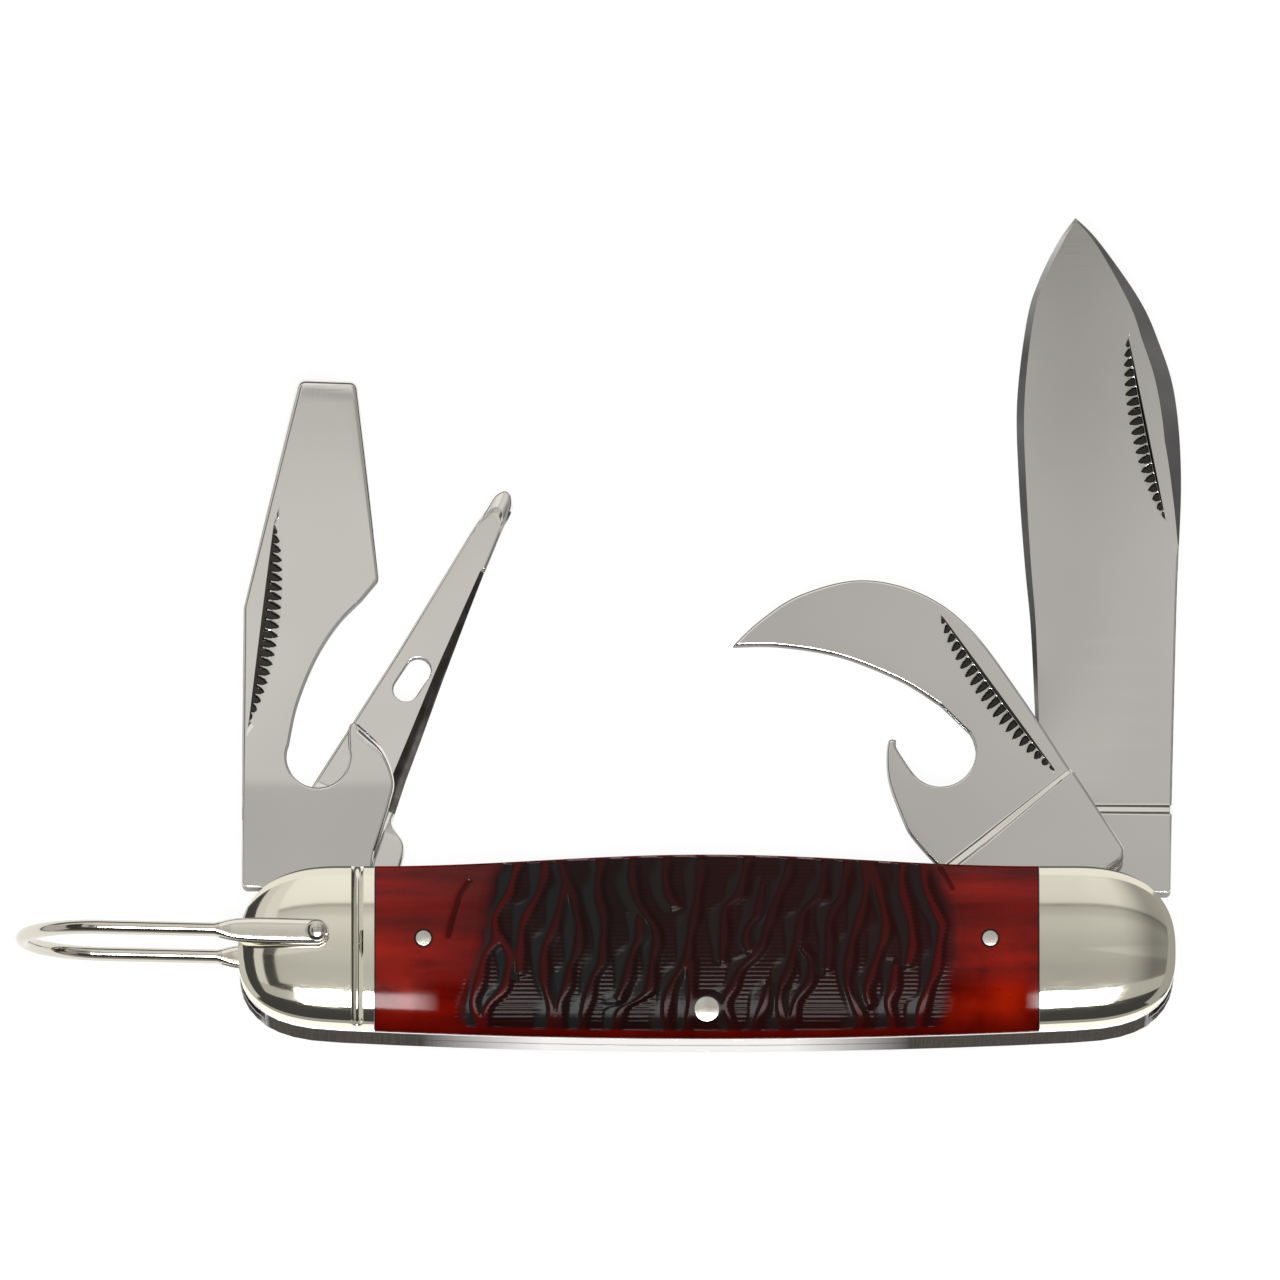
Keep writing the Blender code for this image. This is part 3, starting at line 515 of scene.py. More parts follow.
def bone_finish(pins):
    """Red polished bone, near black in the grooves of its jigging, with dark rings where pins go in."""
    paint = Paint("jigged_bone")
    x, y = paint.along()
    far = paint.math("ABSOLUTE", x)
    jig = paint.attribute("jig")
    colour = paint.mixed(jig, plain_bone(paint, y, far), cut_bone(paint, x, y, far))
    specks = paint.add("TexVoronoi", {"Vector": paint.stretched((900.0, 1400.0, 900.0)), "Scale": 1.0})
    colour = paint.mixed(paint.ranged(specks, 0.75, 0.0, 0.05, 0.11), colour, (0.02, 0.002, 0.002))
    seam = paint.fade(far, 0.0, 1.0, JOINT_X - 0.18, JOINT_X - 0.04)
    colour = paint.mixed(seam, colour, (0.008, 0.004, 0.004))
    flat = paint.add("VectorMath", {0: paint.place(), 1: (1.0, 1.0, 0.0)}, operation="MULTIPLY")
    for pin_x, pin_y, radius in pins:
        middle = (pin_x * MM, pin_y * MM, 0.0)
        apart = paint.add("VectorMath", {0: flat, 1: middle}, operation="DISTANCE").outputs["Value"]
        ring = paint.fade(apart, 1.0, 0.0, radius + 0.10, radius + 0.28)
        colour = paint.mixed(ring, colour, (0.010, 0.004, 0.004))
    pores = paint.noise((900.0, 2600.0, 900.0), 5.0)
    polish = paint.ranged(pores, 0.08, 0.14, 0.3, 0.7)
    dull = paint.math("MULTIPLY", paint.fade(x, 0.0, 1.0, -29.2, -26.2), paint.fade(x, 1.0, 0.0, 31.2, 32.6))
    dull = paint.math("MULTIPLY", dull, paint.fade(y, 1.0, 0.0, -5.5, -3.5))
    gloss = paint.math("MULTIPLY", paint.ranged(dull, 0.21, 0.0), paint.fade(y, 0.0, 1.0, -8.8, -7.8))
    paint.shade(Base_Color=colour,
                Roughness=paint.blended(jig, polish, paint.fade(y, 0.17, 0.26, -6.0, -2.0)),
                Specular_IOR_Level=paint.blended(jig, gloss, paint.fade(y, 0.045, 0.105, -9.0, 5.0)))
    paint.bump(pores, 3.0e-6, 0.5)
    return paint.owner


BONE = bone_finish([RIVET, SCALE_PIN, LEFT_SCALE_PIN])


# Meshes


def new_mesh(name, co, faces, finishes):
    """A mesh from points in millimetres."""
    mesh = bpy.data.meshes.new(name)
    mesh.from_pydata((np.asarray(co, float) * MM).tolist(), [], [tuple(int(i) for i in f) for f in faces])
    for finish in finishes:
        mesh.materials.append(finish)
    return mesh


def add_object(name, data):
    made = bpy.data.objects.new(name, data)
    bpy.context.scene.collection.objects.link(made)
    return made


def place(mesh, body, node, slot):
    made = add_object(mesh.name, mesh)
    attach(made, body)
    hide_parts(node)
    return made


def add_piece(node, co, faces, finish, slot="nickel_silver", body="handle", sharp=38.0):
    """A smooth-shaded piece in a node's place, whose edges turn sharp above an angle."""
    mesh = new_mesh("look_" + node, co, faces, [finish])
    bm = bmesh.new()
    bm.from_mesh(mesh)
    bmesh.ops.remove_doubles(bm, verts=bm.verts, dist=1e-7)
    bmesh.ops.recalc_face_normals(bm, faces=bm.faces)
    for face in bm.faces:
        face.smooth = True
    for edge in bm.edges:
        if len(edge.link_faces) == 2:
            edge.smooth = edge.calc_face_angle() < math.radians(sharp)
    bm.to_mesh(mesh)
    bm.free()
    return place(mesh, body, node, slot)


def row_faces(rows, width, start=0, closed=True):
    """Four-sided faces between neighbouring rows of points; closed rows meet their own start."""
    faces = []
    for row in range(rows - 1):
        low = start + row * width
        high = low + width
        for i in range(width if closed else width - 1):
            j = (i + 1) % width
            faces.append((low + i, low + j, high + j, high + i))
    return faces


def inside(points, polygon):
    """Which points lie in a closed polygon."""
    p = np.asarray(points, float)
    a = np.asarray(polygon, float)
    b = np.roll(a, -1, axis=0)
    found = np.zeros(len(p), bool)
    for (x0, y0), (x1, y1) in zip(a, b):
        if y0 == y1:
            continue
        crossing = (p[:, 1] > min(y0, y1)) & (p[:, 1] <= max(y0, y1))
        found ^= crossing & (p[:, 0] < x0 + (p[:, 1] - y0) * (x1 - x0) / (y1 - y0))
    return found


def inward(points):
    """Unit normals of a closed counter-clockwise outline, pointing inwards."""
    step = np.roll(points, -1, axis=0) - points
    step /= np.linalg.norm(step, axis=1)[:, None]
    along = step + np.roll(step, 1, axis=0)
    along /= np.maximum(np.linalg.norm(along, axis=1)[:, None], 1e-9)
    return np.stack([-along[:, 1], along[:, 0]], axis=1)


def nearest(points, line, closed=True):
    """Distance from each point to a line, with the segment that is closest and the share along it."""
    run = np.roll(line, -1, axis=0) - line
    gap = np.full(len(points), np.inf)
    segment = np.zeros(len(points), int)
    share = np.zeros(len(points))
    for i, (start, step) in enumerate(zip(line, run if closed else run[:-1])):
        away = points - start
        t = np.clip(away @ step / (step @ step), 0.0, 1.0)
        d = np.hypot(away[:, 0] - t * step[0], away[:, 1] - t * step[1])
        closer = d < gap
        gap[closer] = d[closer]
        segment[closer] = i
        share[closer] = t[closer]
    return gap, segment, share


class Rim:
    """A closed outline whose border falls away, as a soft edge or as a ground facet.

    Each run is points, a width, a drop and, for a facet, True. Width and drop are numbers or functions of Y.
    """

    def __init__(self, *runs):
        points, values = [], []
        for run, width, drop, *ground in runs:
            for p in run:
                if points and math.dist(points[-1], p) < SAME_POINT:
                    continue
                points.append(p)
                sizes = [v(p[1]) if callable(v) else v for v in (width, drop)]
                values.append([*sizes, float(bool(ground))])
        if math.dist(points[0], points[-1]) < SAME_POINT:
            points.pop()
            values.pop()
        self.points = np.asarray(points, float)
        self.width, self.drop, self.ground = np.asarray(values, float).T

    def inset(self, share):
        return self.points + inward(self.points) * (self.width * share)[:, None]

    def fall(self, points):
        """How far the border has dropped at each point, and whether that point is on a facet."""
        gap, i, t = nearest(points, self.points)
        j = (i + 1) % len(self.points)
        width = self.width[i] * (1.0 - t) + self.width[j] * t
        drop = self.drop[i] * (1.0 - t) + self.drop[j] * t
        ground = self.ground[i] * self.ground[j] > 0.5
        depth = np.clip(1.0 - gap / width, 0.0, 1.0)
        return drop * np.where(ground, depth, depth ** 2), ground & (depth > 0.0)


@dataclass
class Nick:
    """A fingernail nick: a straight cut and, beside it, a row of file-like teeth."""

    start: tuple
    end: tuple
    bulge: float
    teeth: int
    cut: float
    gap: float
    fill: float

    def __post_init__(self):
        run = np.subtract(self.end, self.start)
        self.length = float(np.hypot(*run))
        self.along = run / self.length
        self.across = np.array([self.along[1], -self.along[0]])

    def reach(self, t):
        return self.bulge * np.clip(4.0 * t * (1.0 - t), 1e-6, 1.0) ** 0.7

    def local(self, points):
        away = points - np.asarray(self.start)
        t = away @ self.along / self.length
        return t, away @ self.across / self.reach(t)

    def pit(self, points):
        """Depth of the nick at each point, as a share of its full depth."""
        t, s = self.local(points)
        off = np.abs((t * self.teeth - TOOTH_LEAN * s) % 1.0 - 0.5)
        half = self.fill * (1.0 - np.clip((s - 0.25) / 0.75, 0.0, 1.0) ** 2.4)
        past_gap = np.clip((s - self.cut - self.gap) / NICK_SOFT, 0.0, 1.0)
        tooth = np.clip((half - off) / TOOTH_SOFT, 0.0, 1.0) * past_gap
        cut = np.clip((self.cut - s) / NICK_SOFT + 1.0, 0.0, 1.0)
        ends = np.clip(np.minimum(t, 1.0 - t) * self.teeth * 3.0, 0.0, 1.0)
        within = (t > 0.0) & (t < 1.0) & (s > 0.0) & (s < 1.0)
        return within * ends * np.maximum(np.maximum(cut, tooth), NICK_FLOOR * (1.0 - 0.6 * s))

    def grid(self):
        t = np.linspace(0.004, 0.996, 9 * self.teeth + 1)
        middle = np.asarray(self.start) + np.outer(t * self.length, self.along)
        return [middle + np.outer(s * self.reach(t), self.across) for s in NICK_ROWS]


@dataclass
class Sheet:
    """A flat tool: rims and lines between a front and a rear surface, shaded by the slope of the surfaces."""

    rims: list
    front: object
    rear: object
    lines: list
    nick: Nick = None

    def heights(self, points):
        fall = sum(rim.fall(points)[0] for rim in self.rims)
        top = self.front(points[:, 0], points[:, 1]) - fall
        bottom = self.rear(points[:, 0], points[:, 1]) + REAR_SHARE * fall
        thin = np.maximum(EDGE_THICKNESS - (top - bottom), 0.0) / 2.0
        cut = NICK_DEPTH * self.nick.pit(points) if self.nick else 0.0
        return top + thin - cut, bottom - thin

    def slopes(self, tris):
        """Directions of the front and rear surfaces at each corner, read just inside its own triangle."""
        middle = tris.mean(axis=1, keepdims=True)
        q = (tris + CORNER_PULL * (middle - tris)).reshape(-1, 2)
        across, along = np.array([SLOPE_STEP, 0.0]), np.array([0.0, SLOPE_STEP])
        right, left = self.heights(q + across), self.heights(q - across)
        up, down = self.heights(q + along), self.heights(q - along)
        rise = np.full(len(q), 2.0 * SLOPE_STEP)
        found = []
        for k, facing in ((0, 1.0), (1, -1.0)):
            n = np.column_stack([left[k] - right[k], down[k] - up[k], rise]) * facing
            found.append((n / np.linalg.norm(n, axis=1)[:, None]).reshape(-1, 3, 3))
        return found

    def triangulate(self):
        """Points and triangles of the sheet in its own plane."""
        points, edges = [], []

        def add(run, closed=False, joined=True):
            start = len(points)
            points.extend(Vector((float(p[0]), float(p[1]))) for p in run)
            if joined:
                edges.extend((start + i, start + i + 1) for i in range(len(run) - 1))
            if closed:
                edges.append((start + len(run) - 1, start))

        outline = self.rims[0].points
        for rim in self.rims:
            for share in RIM_SHARES:
                add(rim.inset(share), True)
        for line in self.lines:
            add(line)
        if self.nick:
            for i, row in enumerate(self.nick.grid()):
                add(row, joined=i < 2)
        low, high = outline.min(axis=0), outline.max(axis=0)
        x, y = np.meshgrid(np.arange(low[0], high[0], GRID), np.arange(low[1], high[1], GRID))
        inner = np.column_stack([x.ravel(), y.ravel()])
        keep = inside(inner, outline)
        for rim in self.rims:
            gap, i = nearest(inner, rim.points)[:2]
            keep &= gap > rim.width[i] + GRID_MARGIN
        if self.nick:
            t, s = self.nick.local(inner)
            keep &= ~((t > -0.02) & (t < 1.02) & (s > -0.15) & (s < 1.2))
        add(inner[keep], joined=False)
        out = delaunay_2d_cdt(points, edges, [], 0, 1e-5)
        flat = np.array([tuple(p) for p in out[0]], float)
        tris = np.array([tuple(f) for f in out[2]], int)
        middle = flat[tris].mean(axis=1)
        keep = inside(middle, outline)
        for hole in self.rims[1:]:
            keep &= ~inside(middle, hole.points)
        used, tris = np.unique(tris[keep], return_inverse=True)
        return flat[used], tris.reshape(-1, 3)

    def build(self, node, pivot_x, lean, finishes):
        """Makes the piece, leaning by an angle at its pivot; at the left pivot it is mirrored."""
        flat, tris = self.triangulate()
        count = len(flat)
        top, bottom = self.heights(flat)
        front, rear = self.slopes(flat[tris])
        sides = {(a, b) for t in tris.tolist() for a, b in zip(t, t[1:] + t[:1])}
        rim = sorted((a, b) for a, b in sides if (b, a) not in sides)
        after = dict(rim)
        before = {b: a for a, b in rim}

        def outward(a, b):
            d = flat[b] - flat[a]
            return np.array([d[1], -d[0], 0.0]) / math.hypot(*d)

        def blended(own, other):
            n = own + other if own @ other > SMOOTH_TURN else own
            return n / np.linalg.norm(n)

        faces = tris.tolist() + [[i + count for i in t[::-1]] for t in tris.tolist()]
        normals = list(front) + list(rear[:, ::-1])
        for a, b in rim:
            own = outward(a, b)
            at_a = blended(own, outward(before[a], a))
            at_b = blended(own, outward(b, after[b]))
            faces.append([b, a, a + count, b + count])
            normals.append(np.array([at_b, at_a, at_a, at_b]))
        side = math.copysign(1.0, pivot_x)
        if side < 0:
            faces = [f[::-1] for f in faces]
            normals = [n[::-1] for n in normals]
        c, s = math.cos(math.radians(lean)), math.sin(math.radians(lean))
        turn = np.array([[c * side, -s, 0.0], [s * side, c, 0.0], [0.0, 0.0, 1.0]])
        co = np.concatenate([np.column_stack([flat, top]), np.column_stack([flat, bottom])])
        co = co @ turn.T + [pivot_x, 0.0, 0.0]
        ground = np.zeros(len(tris), bool)
        for border in self.rims:
            ground |= border.fall(flat[tris].mean(axis=1))[1]
        # The side walls take the painted-shade wall finish.
        mesh = new_mesh("look_" + node, co, faces, [*finishes, WALL_STEEL_PAINTED_SHADE])
        index = np.concatenate([ground, ground, np.full(len(rim), 2)]).astype(np.int32)
        mesh.polygons.foreach_set("material_index", index)
        mesh.polygons.foreach_set("use_smooth", np.ones(len(faces), bool))
        mesh.normals_split_custom_set((np.concatenate(normals) @ turn.T).tolist())
        # Depth of the nick at each point, which the finish turns into painted shade.
        pits = np.zeros(2 * count, np.float32)
        if self.nick:
            pits[:count] = self.nick.pit(flat)
        mesh.attributes.new("pit", "FLOAT", "POINT").data.foreach_set("value", pits)
        place(mesh, node, node, "blade_steel")


# Bolsters and scales


def bolster_columns():
    """Where a bolster's section lines run, from its top corner round the nose: (x, side, angle)."""
    flute = [FLUTE_X + FLUTE_WIDTH * (i / 10.0 - 0.5) for i in range(11)]
    straight = sorted([JOINT_X + JOINT_GAP, 33.0, 33.4, *flute, 35.2, 35.6])
    columns = [(x, 1.0, None) for x in straight]
    columns += [(None, 1.0, 90.0 - 90.0 * i / NOSE_STEPS) for i in range(NOSE_STEPS + 1)]
    columns += [(None, -1.0, -90.0 * i / NOSE_STEPS) for i in range(1, NOSE_STEPS + 1)]
    return columns + [(x, -1.0, None) for x in reversed(straight)]


def level_point(column, q, front):
    """The point of a section line where the crown's level is q."""
    x, side, angle = column
    power = POWER_TOP if side > 0 else POWER_BACK
    share = q ** (1.0 / power)
    if angle is None:
        across = share
    else:
        a = math.radians(angle)
        x = NOSE_X + NOSE_LENGTH * share * abs(math.cos(a)) ** (2.0 / power)
        across = share * abs(math.sin(a)) ** (2.0 / power)
    limit = handle_top(x) if side > 0 else cover_back(x, front)
    return x, -NOSE_DROP + (limit + NOSE_DROP) * across


def flute_depth(x, y, q):
    """Depth of the flute, which runs out at the lower edge."""
    across = min(abs(x - FLUTE_X) / (FLUTE_WIDTH / 2.0), 1.0)
    fade = min(max((0.97 - q) / 0.10, 0.0), 1.0) if y < -NOSE_DROP else 1.0
    return FLUTE_DEPTH * math.cos(across * math.pi / 2.0) ** 1.2 * fade


def make_bolster(front, end):
    columns = bolster_columns()
    width = len(columns)
    turns = [math.radians(90.0 * i / BOLSTER_LEVELS) for i in range(BOLSTER_LEVELS + 1)]
    levels = [1.0 - math.sin(a) ** CROWN_POWER for a in turns]
    square_from = 70.0 if end > 0 else 45.0
    co = [(end * x, y, cover_z(front, 0.0)) for x, y in (level_point(c, 1.0, front) for c in columns)]
    for q in levels:
        for column in columns:
            x, y = level_point(column, q, front)
            angle = 90.0 * column[1] if column[2] is None else column[2]
            height = float(crown(q, float(ease((angle + square_from) / SQUARE_FADE))))
            if end < 0:
                height -= flute_depth(x, y, q)
            co.append((end * x, y, cover_z(front, height)))
    rows = len(levels) + 1
    faces = row_faces(rows, width, closed=False)
    faces.append(tuple(range(width)))
    faces.append(tuple([r * width for r in range(rows)] + [r * width - 1 for r in range(rows, 0, -1)]))
    hand = "right" if end > 0 else "left"
    add_piece(f"{WORD[front]}_bolster_{hand}", co, faces, NICKEL, sharp=32.0)


def on_face(pixels):
    """Points read on the photo as places on the front cover's face, to a tenth of a millimetre."""
    return [(round((x - PHOTO_X) / PIXELS_ACROSS, 1), round((PHOTO_Y - y) / PIXELS_UP - FACE_SHIFT, 1))
            for x, y in pixels]


def notch_share(x, y):
    """How close each point is to the nearest lone notch: 1 on its line, falling off past its half width."""
    spots = np.column_stack([x.ravel(), y.ravel()])
    lines = [np.asarray(smooth(on_face(line), 4)) for line in NOTCHES]
    gap = np.min([nearest(spots, line, closed=False)[0] for line in lines], axis=0)
    return (1.0 / (1.0 + (gap / NOTCH_HALF) ** 4)).reshape(x.shape)


def ridge_gaps(x, y):
    """Distance from each point on to the next ridge on its right, and back to the last one on its left."""
    ahead = np.full(x.shape, 9.0)
    behind = np.full(x.shape, 9.0)
    for line in RIDGES:
        curve = np.asarray(smooth(on_face(line), 4))[::-1]
        places = np.maximum.accumulate(curve[:, 1])
        off = np.interp(y, places, curve[:, 0]) - CREST_SHIFT - x
        past = END_STRETCH * np.maximum(np.maximum(places[0] - y, y - places[-1]), 0.0)
        gap = np.hypot(off, past)
        ahead = np.where(off > 0.0, np.minimum(ahead, gap), ahead)
        behind = np.where(off > 0.0, behind, np.minimum(behind, gap))
    return ahead, behind


def jig_edge(y, line):
    """X of one end of the jigging at each Y."""
    ends, heights = np.array(on_face(line)).T
    return np.interp(-y, -heights, ends)


def jigging(x, y, rim, boss):
    """Depth of grooves and height of ribs, then how far each point is cut, on a ridge and in a band."""
    from_left = ease((x - jig_edge(y, JIG_LEFT)) / FIELD_FADE + 0.5)
    field = from_left * ease((jig_edge(y, JIG_RIGHT) - x) / FIELD_FADE + 0.5)
    ribs = np.sin(2.0 * np.pi * y / RIB_PITCH)
    ahead, behind = ridge_gaps(x, y)
    top = CREST_WIDTH + CREST_WANDER * np.sin(1.3 * y + 0.8 * x)
    crest = ease((top + CREST_EDGE + CREST_RIB * ribs - behind) / CREST_SOFT)
    ridge = np.maximum(crest, ease((FOOT_WIDTH - ahead) / FOOT_SOFT))
    wander = BAND + BAND_WANDER * np.sin(0.9 * y + 1.7 * x)
    band = ease((wander - ahead) / BAND_FADE) * (1.0 - ridge)
    hollow = ease(ahead / CREST_RISE) * ease((behind - top) / CREST_FALL)
    notch = notch_share(x, y)
    groove = np.maximum(field * hollow * (0.7 + 0.3 * band), NOTCH_CUT * notch) * rim * boss
    low_side = ease((RIBS_FROM - y) / RIBS_FADE)
    ribbed = np.minimum(groove * 4.0, 1.0) * (1.0 - 0.9 * band) * (0.3 + 0.7 * low_side)
    jig = np.maximum(field, NOTCH_STAIN * notch) * rim
    return GROOVE_DEPTH * groove, RIB_HEIGHT * ribs * ribbed, jig, ridge, band


def make_scale(front):
    columns = np.linspace(-JOINT_X, JOINT_X, SCALE_COLUMNS)
    share = np.concatenate([[1.0, 0.9985, 0.995, 0.989, 0.98], np.linspace(0.968, 0.0, SCALE_ROWS)])
    rows = [(1.0, s) for s in share] + [(-1.0, s) for s in share[-2::-1]]
    side, s = np.array(rows).T[:, :, None]
    x = np.repeat(columns[None, :], len(rows), axis=0)
    limit = np.where(side > 0, handle_top(x), cover_back(x, front))
    y = -NOSE_DROP + (limit + NOSE_DROP) * s
    q = np.where(side > 0, s ** POWER_TOP, s ** POWER_BACK) * np.ones_like(x)
    height = crown(q, np.where(side > 0, 1.0, 0.0))

    rim_end = np.where(side > 0, 0.995, 0.965)
    rim_fade = np.where(side > 0, 0.02, 0.03)
    rim = np.clip((rim_end - s) / rim_fade, 0.0, 1.0)
    from_rivet = np.hypot(x - RIVET[0], y - RIVET[1]) - RIVET[2]
    boss = np.clip((from_rivet - BOSS_MARGIN) / BOSS_FADE, 0.0, 1.0)
    groove, ribs, jig, ridge, band = jigging(x if front else -x, y, rim, boss)
    height = height - groove + ribs

    count = len(columns)
    n_rows = len(rows)
    base = np.arange((n_rows - 1) * count).reshape(n_rows - 1, count)[:, :-1].reshape(-1)
    faces = np.stack([base, base + count, base + count + 1, base + 1], axis=1).tolist()
    co = np.stack([x, y, cover_z(front, height)], axis=2).reshape(-1, 3)
    start = len(co)
    last = (n_rows - 1) * count
    floor = np.full(count, cover_z(front, 0.0))
    limits = (handle_top(columns), cover_back(columns, front))
    edges = [np.column_stack([columns, edge, floor]) for edge in limits]
    co = np.concatenate([co, *edges])
    for i in range(count - 1):
        faces.append((start + i, i, i + 1, start + i + 1))
        faces.append((last + i, start + count + i, start + count + i + 1, last + i + 1))
        faces.append((start + i, start + i + 1, start + count + i + 1, start + count + i))
    for i in (0, count - 1):
        faces.append(tuple([r * count + i for r in range(n_rows)] + [start + count + i, start + i]))
    made = add_piece(WORD[front] + "_scale", co, faces, BONE, "bone", sharp=50.0)
    for key, values in (("jig", jig), ("ridge", ridge), ("band", band)):
        full = np.concatenate([values.reshape(-1), np.zeros(2 * count)]).astype(np.float32)
        made.data.attributes.new(key, "FLOAT", "POINT").data.foreach_set("value", full)


for side_front in WORD:
    make_bolster(side_front, 1.0)
    make_bolster(side_front, -1.0)
    make_scale(side_front)


# Blades


def tang(corner):
    """A round tang and the step behind it, up to the spine's corner."""
    points = arc((0.0, 0.0), TANG_RADIUS, 180.0, 360.0, 28) + [(TANG_RADIUS, TANG_STEP)]
    return points + arc((SPINE_X - corner, TANG_STEP + corner), corner, -90.0, 0.0, 8)


def heel_lines():
    """Lines round the inner corner of a tang's step, where its rim fans out."""
    return [arc((TANG_RADIUS, TANG_STEP), radius, 90.0, 180.0, 6) for radius in (0.05, 0.11, 0.18, 0.28)]


def level(y):
    return [(-16.0, y), (16.0, y)]


def make_main_blade():
    low, high, tang_top = 3.81, 5.11, 6.71
    crease, plunge = 14.5, 16.0
    left_run, right_run = 1.3, 1.5
    swedge_start, swedge_slope = 40.4, 0.38

    def grind(x, y):
        return 0.38 * np.clip((SPINE_X - x) / 14.9, 0.0, 1.1) ** 1.6 * ease((y - crease - 0.3) / plunge)

    def front(x, y):
        run = np.interp(x, (-6.0, 7.5), (left_run, right_run))
        return high - grind(x, y) + (tang_top - high) * ease((crease - y) / run)

    spine = smooth(((7.54, 14.9), (8.1, 34.8), (8.6, 47.1), (8.0, 55.6), (6.4, 61.1), (4.45, 65.4),
                    (0.5, 71.1), (-1.77, 73.45)), 10)
    edge = smooth(((-1.77, 73.45), (-3.44, 71.1), (-5.41, 67.1), (-6.6, 63.1), (-7.58, 55.0), (-7.44, 47.1),
                   (-6.89, 38.9), (-6.3, 32.3), (-5.9, 23.8), (-5.6, 16.5)), 10)
    back = [p for p in spine if p[1] < swedge_start]
    swedge = [p for p in spine if p[1] >= swedge_start]
    swedge_width = table((swedge_start, 0.10), (46.0, 0.9), (51.0, 1.5), (56.5, 1.62), (62.0, 1.5),
                         (66.7, 0.95), (70.4, 0.45), (73.5, 0.2))
    edge_width = table((16.0, 0.15), (23.0, 0.35), (35.0, 0.55), (45.0, 0.70), (55.0, 0.74), (65.0, 0.6),
                       (71.0, 0.45), (73.5, 0.25))
    rim = Rim(
        (tang(0.5), 0.12, 0.12),
        (back, 0.22, 0.11),
        (swedge, swedge_width, lambda y: swedge_slope * swedge_width(y), True),
        (edge, edge_width, 0.20, True),
        ([(-5.0, 14.2), (-5.0, 12.5), (-5.0, 6.0)], 0.20, 0.15))
    lines = heel_lines() + [level(crease + 0.3 + plunge * i / 6) for i in range(7)]
    for i in range(11):
        drop = i / 10.0
        left, right = crease - left_run * drop, crease - right_run * drop
        lines.append([(-16.0, left), (-6.0, left), (7.5, right), (16.0, right)])
    nick = Nick((3.45, 61.4), (7.05, 43.0), 1.70, 19, 0.09, 0.07, 0.42)
    sheet = Sheet([rim], front, lambda x, y: low + grind(x, y), lines, nick)
    sheet.build("main_blade", PIVOT_X, 0.0, [BLADE, GROUND])


def make_can_opener():
    low, high, tang_top = 7.37, 8.67, 10.27

    def crease(x):
        return 14.91 + 0.0685 * x

    def run(x):
        return np.interp(x, (-3.5, 5.0), (1.3, 0.9))

    def front(x, y):
        return high + (tang_top - high) * ease((crease(x) + 0.5 - y) / run(x))

    spine = smooth(((7.6, 15.9), (7.8, 24.5), (7.45, 32.9), (5.4, 38.6), (1.24, 43.0), (-4.5, 45.1),
                    (-9.2, 45.2), (-12.85, 44.6)), 10)
    hook = smooth(((-12.85, 44.6), (-9.03, 42.0), (-4.68, 37.8), (-1.14, 32.5), (0.72, 28.2)), 10)
    notch = arc((-1.93, 24.35), 3.43, 0.0, -180.0, 28)
    thumb = smooth(((-5.36, 24.35), (-5.3, 27.0), (-4.93, 27.8), (-5.8, 27.9), (-7.7, 25.0), (-8.8, 20.9),
                    (-9.0, 18.6), (-8.3, 14.0), (-6.6, 9.0)), 8)
    rim = Rim(
        (tang(1.1), 0.28, 0.16),
        (spine, 0.26, 0.12),
        (hook, 0.24, 0.18),
        (notch, 0.24, 0.16),
        (thumb, 0.28, 0.13),
        ([(-5.0, 5.0)], 0.20, 0.10))
    lines = heel_lines()
    for i in range(11):
        lines.append([(x, crease(x) + 0.5 - run(x) * i / 10.0) for x in (-16.0, -3.5, 5.0, 16.0)])
    nick = Nick((5.88, 35.7), (6.37, 16.4), 1.95, 20, 0.10, 0.06, 0.38)
    sheet = Sheet([rim], front, lambda x, y: low + 0.0 * x, lines, nick)
    sheet.build("can_opener", PIVOT_X, 34.2, [BLADE, GROUND])


